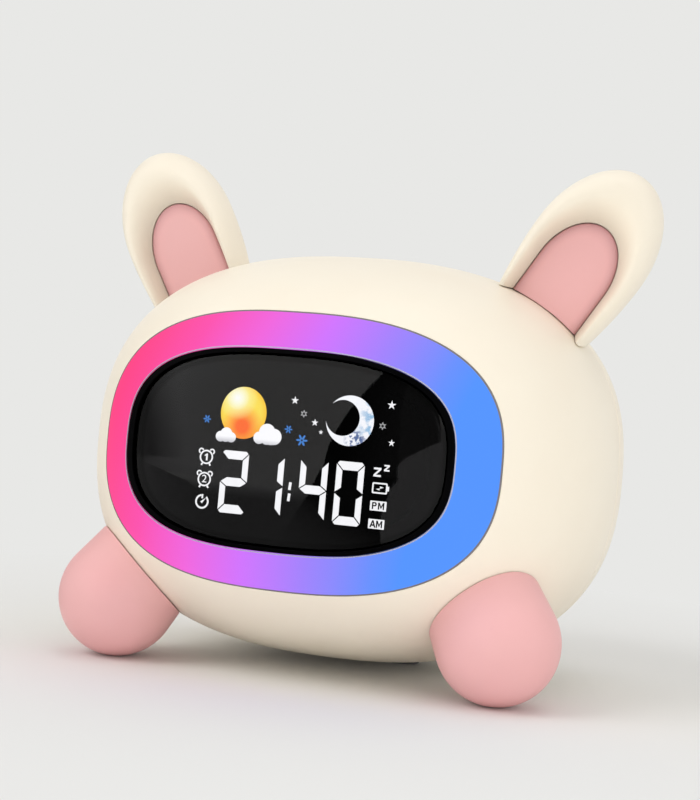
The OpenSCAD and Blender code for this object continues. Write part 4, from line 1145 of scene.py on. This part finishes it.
class CLOCK_OT_finishes(bpy.types.Operator):
    """Makes every finish of the clock"""

    bl_idname = "clock.finishes"
    bl_label = "Finishes"

    def execute(self, context):
        s = settings()
        for name, tones, numbers, plain in MOULDED:
            if isinstance(tones, str):
                pair = [opaque(getattr(s, f"{tones}_{tone}")) for tone in ("colour", "shade")]
            else:
                pair = [srgb(*tone) for tone in tones]
            surfaced(name, "moulded", plain, Color=pair[0], Shade=pair[1],
                     **dict(zip(MOULDED_NUMBERS, numbers)))
        # Painted shade: each ear's bowl darkened towards its liner
        painted_crease_shade("Ear shell", 1.42, 1.0, 1.7, srgb(223, 221, 219))
        # Painted shade: each liner darkened towards its edge, under the bowl's rim
        painted_crease_shade("Pink liner", 0.7, 1.0, 1.7, srgb(212, 198, 202))
        surfaced("Plated steel", "metal", {"Metallic": 1.0}, Color=srgb(190, 192, 196),
                 Stain=srgb(140, 138, 136), Stretch=(1, 1, 10), Roughness=0.28)
        surfaced("Sensor can", "metal", {"Metallic": 1.0}, Color=srgb(205, 170, 100),
                 Stain=srgb(150, 112, 62), Stretch=(8, 1, 1), Roughness=0.3)
        surfaced("Circuit board", "circuit", {}, Mask=srgb(18, 88, 52),
                 Track=srgb(34, 118, 70), Pad=srgb(206, 200, 184), Scale=260.0)
        surfaced("Ribbon", "strands", {}, Color=srgb(186, 188, 192), Groove=srgb(110, 112, 118),
                 Across=(1, 0, 0), Pitch=0.00127, Roughness=0.55)
        surfaced("Speaker paper", "strands", {}, Color=srgb(58, 57, 56),
                 Groove=srgb(34, 33, 33), Across=(0.7, 0, 0.7), Pitch=0.0009, Roughness=0.85)
        self.glowing_ring(s)
        self.smoked_lens()
        self.lit_display(s)
        return {"FINISHED"}

    def glowing_ring(self, s):
        """Milky diffuser lit in one sweep of colour from pink to blue."""
        tree, shader = new_material("Ring diffuser")
        sweep = map_range(tree, object_axis(tree, (1, -0.0112, -0.2788)), -0.0647, 0.0253)
        colour = ramp(tree, sweep, [(share, srgb(*tone)) for share, tone in RING_SWEEP])
        made = group_node(tree, "moulded", Color=(0.8, 0.8, 0.8, 1), Shade=(0.7, 0.7, 0.7, 1),
                          Mottle=0.3, Roughness=0.38, Spread=0.05, Grain=1500.0, Depth=0.00001)
        body = mix_colours(tree, 1.0, colour, made["Color"], "MULTIPLY")
        fill(tree, shader, {
            "Base Color": mix_colours(tree, 0.97, body, (0, 0, 0, 1)), "Emission Color": colour,
            "Roughness": made["Roughness"], "Normal": made["Normal"],
            "Emission Strength": s.glow_strength, "Specular IOR Level": 0.05})

    def smoked_lens(self):
        """Smoked clear sheet with a faint haze in its tone."""
        tree, shader = new_material("Smoked lens")
        haze = noise(tree, own_place(tree), 60.0, 2.0)
        tone = mix_colours(tree, haze, (0.30, 0.30, 0.31, 1), (0.33, 0.33, 0.34, 1))
        fill(tree, shader, {"Base Color": tone, "Roughness": 0.0, "Transmission Weight": 1.0,
                            "IOR": 1.38})

    def lit_display(self, s):
        """Lit figures and pictures of the display."""
        def lit(name, paint):
            tree, shader = new_material(name)
            dim = map_range(tree, noise(tree, own_place(tree), 5000.0, 1.0), 0.3, 0.7, 0.97, 1.0)
            lit_colour = fed_node(tree, "ShaderNodeVectorMath", {0: paint(tree), "Scale": dim},
                                  operation="SCALE").outputs[0]
            fill(tree, shader, {
                "Emission Color": lit_colour, "Base Color": (0.02, 0.02, 0.02, 1),
                "Roughness": 0.8, "Specular IOR Level": 0.0,
                "Emission Strength": s.display_strength})

        def near(tree, x, y, low, high):
            """1 within low mm of a place on the display, and 0 from high mm on."""
            return map_range(tree, distance_from(tree, (x * MM, y * MM, 0)), low * MM, high * MM,
                             1, 0)

        def plain(colour):
            def paint(tree):
                broad = noise(tree, own_place(tree), 400.0)
                dim = tuple(0.9 * v for v in colour[:3]) + (1.0,)
                return mix_colours(tree, map_range(tree, broad, 0.35, 0.75, 0, 0.5), colour, dim)
            return paint

        def sun(tree):
            paint = srgb(252, 198, 54)
            for x, y, low, high, tone in (
                    (-12.9, 8.9, 4.6, 6.3, (255, 226, 84)), (-12.7, 5.4, 1.4, 5.4, (255, 110, 44)),
                    (-14.4, 12.0, 1.2, 5.2, (255, 252, 170)),
                    (-14.4, 12.0, 0.2, 3.0, (255, 255, 250))):
                paint = mix_colours(tree, near(tree, x, y, low, high), paint, srgb(*tone))
            return paint

        def cloud(tree):
            grey = map_range(tree, object_axis(tree, (0, 1, 0)), 0.0015, 0.0028, 0.75, 0)
            return mix_colours(tree, grey, srgb(255, 255, 255), srgb(176, 176, 182))

        def moon(tree):
            place = own_place(tree)
            patch = map_range(tree, noise(tree, place, 520.0, 3.0, 0.6), 0.46, 0.6)
            right = map_range(tree, object_axis(tree, (1, 0, 0)), 0.0150, 0.0185)
            blue = mix_colours(tree, maths(tree, "MULTIPLY", patch, right),
                               srgb(252, 253, 255), srgb(158, 196, 226))
            spots = map_range(tree, noise(tree, place, 900.0, 2.0, 0.6), 0.47, 0.56)
            low = maths(tree, "MULTIPLY", near(tree, 15.8, 4.6, 1.4, 3.2), spots)
            return mix_colours(tree, low, blue, srgb(96, 116, 160))

        for name, paint in (("white", plain(srgb(255, 255, 255))),
                            ("grey", plain(srgb(176, 176, 176))),
                            ("blue", plain(srgb(62, 128, 206))),
                            ("sun", sun), ("cloud", cloud), ("moon", moon)):
            lit("Lit " + name, paint)
        tree, shader = new_material("Unlit letters")
        speck = noise(tree, own_place(tree), 3000.0)
        fill(tree, shader, {"Base Color": mix_colours(tree, speck, srgb(12, 12, 13),
                                                      srgb(22, 22, 23)), "Roughness": 0.7})


class CLOCK_OT_shells(bpy.types.Operator):
    """Builds the front and the back shell, with the screw bores that show at the back"""

    bl_idname = "clock.shells"
    bl_label = "Shells"

    def execute(self, context):
        self.front()
        self.back()
        return {"FINISHED"}

    def front(self):
        """The front shell: its skin, with the bosses of the solid inside it."""
        def bosses(p):
            return (body_level(p, -WALL - BOSS_GAP) < 1) & (p[:, 1] < FRONT_BOSS_Y)

        skin = front_shell_skin()
        points, faces = inside_faces("front_shell", bosses)
        skin.faces += [tuple(skin.count + i for i in face) for face in faces]
        skin.points.append(points)
        add_piece("front_shell_moulding", skin.mesh("front_shell", closed=False), "Cream shell",
                  ("front_shell",))

    def back(self):
        """The back shell: its skin, cut by the screws' bores and the pad's slot, and bosses."""
        spot = outline(CASE_SHARE, t=np.array(CASE_ANGLE))
        spots = [(sx * spot[0], sz * spot[1]) for sx in (-1, 1) for sz in (-1, 1)]
        piece = add_piece("back_shell_moulding", back_shell_skin().mesh("back_shell"),
                          "Cream shell", ("back_shell",))
        cutters = [cutter(circle_line(s, CASE_BORE_R), np.array(s), CASE_SEAT_Y, BACK_DEPTH,
                          at_depth, BODY_PLACE) for s in spots]
        mesh = cut_by(piece, cutters + [self.pad_cutter()])

        def bosses(p):
            gaps = [np.hypot(p[:, 0] - x, p[:, 2] - z) for x, z in spots]
            return ((np.min(gaps, 0) < BOSS_REACH) & (body_level(p, -WALL - BOSS_GAP) < 1)
                    & (p[:, 1] > BACK_BOSS_Y))

        points, faces = inside_faces("back_shell", bosses)
        bm = bmesh.new()
        bm.from_mesh(mesh)
        made = {}
        for face in faces:
            for i in face:
                if i not in made:
                    made[i] = bm.verts.new(BODY_PLACE @ Vector(points[i] * MM))
            bm.faces.new([made[i] for i in face])
        bm.to_mesh(mesh)
        bm.free()
        smooth(mesh, CUT_SHARP)
        give(piece, "Cream shell")

    def pad_cutter(self):
        """The slot in the shell's underside that the rubber pad fits, in the clock's frame."""
        right = polar(np.radians(np.linspace(-90, 90, 25)), PAD_D / 2 + SEAT_GAP,
                      ((PAD_W - PAD_D) / 2, 0))
        return cutter(np.vstack([right, -right]), np.zeros(2), -PAD_T, PAD_T,
                      lambda p, z: at_depth(p, z)[..., [0, 2, 1]])


class CLOCK_OT_display_front(bpy.types.Operator):
    """Builds the light ring with its painted shade and highlight lines, the black rim and the
    smoked lens
    """

    bl_idname = "clock.display_front"
    bl_label = "Ring, rim and lens"

    def execute(self, context):
        for name, skin, finish, slot, replaced in (
                ("light_ring_diffuser", light_ring_skin(), "Ring diffuser", "ring_diffuser",
                 ("light_ring",)),
                # The ring's outer line is painted shade in its gap, and its inner line is a
                # painted highlight on its edge
                ("light_ring_painted_gap_shade", ring_line_skin(ring_oval, 0.22, -0.1),
                 "Ring painted gap shade", "ring_diffuser", ()),
                ("light_ring_painted_edge_highlight", ring_line_skin(window_oval, 0.2, -0.05),
                 "Ring painted edge highlight", "ring_diffuser", ()),
                ("display_rim", display_rim_skin(), "Black rim", "black_rim",
                 ("display_bezel",)),
                ("display_window", lens_skin(), "Smoked lens", "smoked_lens",
                 ("display_lens",))):
            add_piece(name, skin.mesh(name), finish, replaced)
        return {"FINISHED"}


class CLOCK_OT_display_graphics(bpy.types.Operator):
    """Builds the lit figures, pictures and signs of the display"""

    bl_idname = "clock.display_graphics"
    bl_label = "Display graphics"

    def execute(self, context):
        def lit(name, shapes, finish, layer=0):
            self.add(name, plate_mesh(name, shapes), finish, layer)

        middles = ((-13.65, -7.85), (-4.6, -7.85), (6.3, -7.85), (15.15, -7.85))
        digits = [[line] for middle, figure in zip(middles, settings().digits)
                  for line in digit_lines(middle, figure)]
        digits += [[bar(a, b, 0.65)] for a, b in (((0.72, -6.6), (0.60, -8.4)),
                                                  ((0.68, -9.2), (0.56, -11.0)))]
        lit("display_digits", digits, "Lit white")
        sun = circle_line((0, 0), 6.0, 96) * (0.965, 1.02) + (-12.6, 8.6)
        lit("display_sun", [[sun]], "Lit sun")
        lit("display_cloud_small", [[union_line(np.array([-16.6, 2.6]), (
            (-17.9, 2.65, 1.25), (-16.5, 3.35, 1.5), (-15.2, 2.6, 1.2), (-16.6, 2.5, 1.1)))]],
            "Lit cloud", 1)
        lit("display_cloud_large", [[union_line(np.array([-6.2, 3.2]), (
            (-8.1, 3.1, 1.45), (-6.2, 4.5, 2.05), (-4.4, 3.6, 1.9), (-6.2, 3.0, 1.4),
            (-5.2, 3.0, 1.4)))]], "Lit cloud", 1)
        lit("display_moon", [[crescent_line(np.array([13.95, 8.9]), 5.85,
                                            np.array([12.14, 9.44]), 4.16)]], "Lit moon")
        lit("display_stars", [[star_line((x, y), r)] for x, y, r in (
            (0.05, 12.52, 1.0), (5.43, 7.78, 0.9), (7.10, 5.68, 0.6), (23.73, 13.27, 1.1),
            (24.46, 4.64, 0.85))], "Lit white")
        lit("display_hollow_stars", [[star_line(p, r, 0.5, 6) for r in (0.95, 0.5)]
                                     for p in ((2.54, 9.61), (21.97, 8.35))], "Lit grey")
        lit("display_snowflakes", [flake_lines((x, y), r) for x, y, r in (
            (-21.74, 6.45, 1.0), (-0.96, 5.69, 1.0), (2.59, 3.40, 1.42))], "Lit blue")
        lit("display_signs", self.signs(), "Lit white")
        name = "display_sign_numbers"
        self.add(name, word_mesh(name, "2", (-21.11, -7.83), 2.6, 1.05), "Lit white")
        lit("display_box_letters", [block_letter(word, x, z) for word, x, z in (
            ("P", 21.12, -10.83), ("M", 22.58, -10.83), ("A", 20.92, -14.98),
            ("M", 22.48, -14.98))], "Unlit letters", 1)
        return {"FINISHED"}

    def add(self, name, mesh, finish, layer=0):
        add_piece(name, mesh, finish, place=display_place(layer), baked=False)

    def signs(self):
        """The shapes of the alarms, the timer, the two Zs, the battery and the two boxes."""
        alarm, timer, battery, one = np.array([
            (-21.08, -2.56), (-21.18, -13.12), (22.6, -5.93), (-21.0, -2.56)])
        hands = np.array([(-0.42, -0.05), (0.05, -0.42), (0.95, 0.95)])
        flash = np.array([(-0.95, -0.25), (0.1, -0.02), (0.02, 0.45), (0.95, 0.2), (0.0, -0.12),
                          (-0.02, -0.5)])
        number = np.array([(0.26, -0.82), (0.26, 0.82), (-0.06, 0.82), (-0.56, 0.42),
                           (-0.44, 0.16), (-0.16, 0.36), (-0.16, -0.82)])
        return alarm_lines(alarm) + alarm_lines(np.array([-21.11, -7.83])) + [
            [arc_band(timer, 1.5, 0.42, 100, 408, 60)],
            [bar(timer + (0, 1.72), timer + (0, 0.75), 0.4)], [timer + hands],
            [zed_line(20.8, -3.35, 1.8, 2.1, 0.44)], [zed_line(23.25, -1.95, 1.3, 1.5, 0.36)],
            [rounded_box(battery, 3.7, 2.55, 0.35), rounded_box(battery, 3.0, 1.85, 0.12)],
            [bar(battery + (1.86, 0), battery + (2.25, 0), 1.1)], [battery + flash],
            [rounded_box((22.6, -10.01), 3.95, 2.25, 0.12)],
            [rounded_box((22.5, -14.16), 3.85, 2.2, 0.12)], [one + number]]


# The clock's two sides: the sign of X there, and the word in the names of the pieces
SIDES = ((1, "right"), (-1, "left"))


class CLOCK_OT_ears(bpy.types.Operator):
    """Builds the two ears and their liners"""

    bl_idname = "clock.ears"
    bl_label = "Ears"

    def execute(self, context):
        for side, word in SIDES:
            place = ear_place_matrix(side)
            add_piece(f"ear_{word}_shell", ear_skin().mesh("ear"), "Ear shell",
                      (f"ear_{word}",), place=place)
            add_piece(f"ear_{word}_liner", liner_skin().mesh("liner"), "Pink liner",
                      (f"ear_liner_{word}",), place=place)
        return {"FINISHED"}


class CLOCK_OT_feet(bpy.types.Operator):
    """Builds the two ball feet with their necks"""

    bl_idname = "clock.feet"
    bl_label = "Feet"

    def execute(self, context):
        for side, word in SIDES:
            add_piece(f"foot_{word}_ball", foot_skin().mesh("foot"), "Pink foot",
                      (f"foot_{word}",), place=Matrix.Scale(side, 4, (1, 0, 0)))
        return {"FINISHED"}


class CLOCK_OT_buttons(bpy.types.Operator):
    """Builds the six push buttons of the back"""

    bl_idname = "clock.buttons"
    bl_label = "Push buttons"

    def execute(self, context):
        for k, word in enumerate(BUTTONS):
            x = (k - (len(BUTTONS) - 1) / 2) * BUTTON_PITCH
            place = BODY_PLACE @ Matrix.Translation((x * MM, 0, BUTTON_ROW_Z * MM))
            cap = button_skin().mesh("button", BUTTON_SHARP)
            add_piece(f"button_{word}_cap", cap, "Pink button",
                      (f"button_{word}",), f"button_{word}", place)
        return {"FINISHED"}


# Parts that keep their own shape: finish, width of their softened edges in mm, and nodes
FITTED = (
    ("Cream shell", 0.2, ("rear_panel",)),
    ("White plastic", 0.15, ("ring_reflector",)),
    ("Circuit board", None, ("ring_led_board", "main_board", "button_board")),
    ("Diode", None, ("ring_leds",)),
    ("Display black", None, ("display_module",)),
    ("Black plastic", 0.1, ("main_chips", "battery_holder", "tact_switches")),
    ("Black plastic", 0.2, ("switch_knob",)),
    ("Sensor can", 0.2, ("vibration_sensor",)),
    ("Cell sleeve", 0.3, ("battery_cell",)),
    ("Ribbon", None, ("ribbon_cable",)),
    ("Speaker paper", None, ("speaker_cone",)),
    ("Plated steel", None, ("speaker_frame", "switch_body", "usb_socket", "ear_screws",
                            "foot_screws", "case_screws", "panel_screws", "board_screws",
                            "reflector_screws")),
    ("Rubber pad", 0.15, ("base_pad",)),
)


class CLOCK_OT_fitted_parts(bpy.types.Operator):
    """Gives the parts that keep their own shape their finishes"""

    bl_idname = "clock.fitted_parts"
    bl_label = "Parts inside and behind"

    def execute(self, context):
        for finish, bevel, nodes in FITTED:
            dress(finish, nodes, bevel)
        return {"FINISHED"}


# Lamps: name, place, size and share of the key lamp's power
LAMPS = (("key_lamp", (-0.75, -0.75, 0.95), (0.7, 0.7), 1.0),
         ("top_lamp", (0.1, 0.1, 1.2), (0.8, 0.8), 0.46),
         ("right_lamp", (1.1, -0.2, 0.5), (0.6, 0.9), 0.37),
         ("left_lamp", (-1.1, -0.3, 0.3), (0.7, 0.7), 0.18),
         ("low_lamp", (0.1, -0.26, 0.02), (0.4, 0.03), 0.034))

# Grey cards: name, two screen greys, the axis and the two mm marks between which one fades into
# the other, and corners that are either degrees round and up or mm on the floor
SKY_CARDS = (
    ("dark_gap_card", (44, 80), ((1, 0, 0), 50, 560),
     ((-6, -3.5), (-4.6, 2), (-2.7, 9.2), (1.7, 20.3), (6.3, 33.6), (13.9, 49.1), (20, 56),
      (33, 52), (28.5, 37.1), (26, 23.7), (26.5, 1.2), (27, -3.5))),
    ("dim_card", (96, 96), ((1, 0, 0), 0, 1),
     ((26.5, 1.2), (26, 23.7), (28.5, 37.1), (33, 52), (39.3, 36.4), (44.5, 25.7), (47, 14.4),
      (47, 9), (41.8, 6.9), (33.3, 3.9))),
    ("left_card", (231, 120), ((0, 1, -1), -950, -390),
     ((-130, -3.5), (-130, 35), (-90, 45), (-50, 35), (-46, -3.5))),
    ("right_card", (190, 190), ((1, 0, 0), 0, 1),
     ((26.5, -3.5), (26.5, 1.2), (33.3, 3.9), (41.8, 6.9), (47, 9), (47, 14.4), (60, 30),
      (90, 30), (90, -3.5))),
)
FLOOR_CARDS = (
    ("floor_gap_card", (160, 60), ((1, -0.55, 0), 20, 118),
     ((-24, -80), (-40, -285), (-31.4, -290), (-209, -1891), (950, -1900), (184, -444),
      (57, -161), (40, -108), (40, -80))),
    ("floor_card", (146, 146), ((1, 0, 0), 0, 1),
     ((-1200, -120), (-407, -248), (-230, -236), (-150, -200), (-86, -176), (-21, -180),
      (-12, -80), (-90, -70), (-120, 120), (-1200, 600))),
    ("floor_fade_card", (228, 146), ((0.2, 1, 0), -305, -205),
     ((-230, -236), (-192, -250), (-120, -270), (-86, -280), (-30, -290), (-21, -180),
      (-86, -176), (-150, -200))),
    ("floor_side_card", (188, 188), ((1, 0, 0), 0, 1),
     ((40, -80), (40, -108), (57, -161), (184, -444), (950, -1900), (3000, -1900), (3000, -80))),
    ("floor_far_card", (125, 231), ((1, -2.2, 0), -500, 600),
     ((-1700, -200), (-1200, -120), (-407, -248), (-250, -300), (-500, -1900), (-2500, -1900))),
)


# The middle of the lens and the sky cards' distance from it, in mm
LENS_MIDDLE, SKY_FAR = np.array([0, -66, 54]), 1500
# The room's soft light, and the metres over which the floor turns into the backdrop
ROOM_COLOUR, ROOM_POWER = (1, 0.99, 0.98, 1), 0.66
FLOOR_FADE, FLOOR_DROP = (0.10, 0.22), 0.0002
LAMP_AIM = Vector((0, -0.02, 0.06))
# The camera: degrees round the clock and up, aside and over from its middle, and its roll; the
# height in mm of the point that it goes round, its distance from there and its focal length
CAMERA_ANGLES = (18.407, 2.342, -0.658, 1.229, 4.383)
CAMERA_UP, CAMERA_FAR, CAMERA_LENS = 57.43, 490.1, 83.47


def round_and_up(turn, rise):
    """The direction at an angle round from the front and an angle up."""
    return np.array([math.sin(turn) * math.cos(rise), -math.cos(turn) * math.cos(rise),
                     math.sin(rise)])


class CLOCK_OT_stage(bpy.types.Operator):
    """Builds the floor, the backdrop's light, the lamps and the camera"""

    bl_idname = "clock.stage"
    bl_label = "Stage"

    def execute(self, context):
        s = settings()
        self.floor(s)
        self.world(s)
        self.lamps(s)
        self.cards()
        self.camera()
        context.scene.view_settings.view_transform = "Standard"
        return {"FINISHED"}

    def floor(self, s):
        mesh = bpy.data.meshes.new("floor")
        corners = [(x * s.floor_size, y * s.floor_size, 0)
                   for x, y in ((-1, -1), (1, -1), (1, 1), (-1, 1))]
        mesh.from_pydata(corners, [], [(0, 1, 2, 3)])
        floor = in_scene("floor", mesh)
        floor.location.z = -FLOOR_DROP
        material = bpy.data.materials.new("Floor")
        tree = bare_tree(material)
        diffuse = fed_node(tree, "ShaderNodeBsdfDiffuse", {0: opaque(s.backdrop)})
        pale = fed_node(tree, "ShaderNodeEmission", {0: opaque(s.backdrop)})
        far = map_range(tree, distance_from(tree, (0, 0, 0)), *FLOOR_FADE)
        self.backdrop(tree, diffuse, pale, "ShaderNodeOutputMaterial", far)
        mesh.materials.append(material)

    def world(self, s):
        world = bpy.context.scene.world = bpy.data.worlds.new("Studio")
        tree = bare_tree(world)
        soft = fed_node(tree, "ShaderNodeBackground", {0: ROOM_COLOUR, 1: ROOM_POWER})
        pale = fed_node(tree, "ShaderNodeBackground", {0: opaque(s.backdrop)})
        self.backdrop(tree, soft, pale, "ShaderNodeOutputWorld")

    def backdrop(self, tree, soft, pale, output, share=1.0):
        """Shows the pale shader to the rays that see the backdrop itself: the camera's, mirrored
        and passing ones. All others meet the soft one."""
        rays = node(tree, "ShaderNodeLightPath").outputs
        either = maths(tree, "MAXIMUM", rays["Is Camera Ray"], rays["Is Glossy Ray"])
        seen = maths(tree, "MAXIMUM", either, rays["Is Transmission Ray"])
        blend = fed_node(tree, "ShaderNodeMixShader", {
            0: maths(tree, "MULTIPLY", seen, share), 1: soft.outputs[0], 2: pale.outputs[0]})
        fed_node(tree, output, {0: blend.outputs[0]})

    def cards(self):
        """Cards that only mirrored and passing rays see. The lens shows them as grey shapes."""
        def sky(turn, rise):
            return LENS_MIDDLE + SKY_FAR * round_and_up(math.radians(turn), math.radians(rise))

        for name, greys, fade, corners in SKY_CARDS:
            self.card(name, greys, fade, [sky(*corner) for corner in corners])
        for layer, (name, greys, fade, corners) in enumerate(FLOOR_CARDS):
            self.card(name, greys, fade, [np.array([x, y, 0.4 + 0.1 * layer])
                                          for x, y in corners])

    def card(self, name, greys, fade, points):
        mesh = bpy.data.meshes.new(name)
        mesh.from_pydata([tuple(p * MM) for p in points], [], [tuple(range(len(points)))])
        made = in_scene(name, mesh)
        made.visible_camera = made.visible_diffuse = made.visible_shadow = False
        material = bpy.data.materials.new(name)
        tree = bare_tree(material)
        axis, low, high = fade
        sweep = map_range(tree, object_axis(tree, axis), low * MM, high * MM)
        grey = mix_colours(tree, sweep, *(srgb(tone, tone, tone) for tone in greys))
        plain = fed_node(tree, "ShaderNodeEmission", {0: grey})
        fed_node(tree, "ShaderNodeOutputMaterial", {0: plain.outputs[0]})
        mesh.materials.append(material)

    def lamps(self, s):
        for name, place, size, share in LAMPS:
            data = bpy.data.lights.new(name, "AREA")
            data.shape, data.size, data.size_y = "RECTANGLE", size[0], size[1]
            data.energy = share * s.key_power
            lamp = in_scene(name, data)
            lamp.location = place
            lamp.rotation_mode = "QUATERNION"
            lamp.rotation_quaternion = (LAMP_AIM - Vector(place)).to_track_quat("-Z", "Y")
            lamp.visible_glossy = lamp.visible_transmission = False

    def camera(self):
        turn, rise, aside, over, roll = (math.radians(a) for a in CAMERA_ANGLES)
        back = Vector(round_and_up(turn, rise))
        place = Vector((0, -BODY_FORWARD * MM, CAMERA_UP * MM)) + back * CAMERA_FAR * MM
        right = Vector((math.cos(turn), math.sin(turn), 0))
        up = back.cross(right)
        ahead = (-back + right * math.tan(aside) + up * math.tan(over)).normalized()
        right = ahead.cross(up).normalized()
        up = right.cross(ahead)
        x = right * math.cos(roll) + up * math.sin(roll)
        y = up * math.cos(roll) - right * math.sin(roll)
        data = bpy.data.cameras.new("camera")
        data.lens, data.sensor_width = CAMERA_LENS, 36
        data.clip_start, data.clip_end = 0.01, 20
        camera = in_scene("camera", data, Matrix((x, y, -ahead)).transposed().to_4x4())
        camera.location = place
        bpy.context.scene.camera = camera


class CLOCK_PT_panel(bpy.types.Panel):
    """Sidebar panel that lists the clock's steps"""

    bl_label = "Clock"
    bl_idname = "CLOCK_PT_panel"
    bl_space_type = "VIEW_3D"
    bl_region_type = "UI"
    bl_category = "Clock"

    def draw(self, context):
        s = context.scene.clock_settings
        for name in ClockSettings.__annotations__:
            self.layout.prop(s, name)
        for step in STEPS:
            self.layout.operator(step.bl_idname)


STEPS = (CLOCK_OT_finishes, CLOCK_OT_shells, CLOCK_OT_display_front, CLOCK_OT_display_graphics,
         CLOCK_OT_ears, CLOCK_OT_feet, CLOCK_OT_buttons, CLOCK_OT_fitted_parts, CLOCK_OT_stage)


def register():
    for kind in (ClockSettings, *STEPS, CLOCK_PT_panel):
        bpy.utils.register_class(kind)
    bpy.types.Scene.clock_settings = bpy.props.PointerProperty(type=ClockSettings)


def unregister():
    del bpy.types.Scene.clock_settings
    for kind in (CLOCK_PT_panel, *reversed(STEPS), ClockSettings):
        bpy.utils.unregister_class(kind)


def main():
    register()
    for step in STEPS:
        group, name = step.bl_idname.split(".")
        getattr(getattr(bpy.ops, group), name)()


if __name__ == "__main__":
    main()
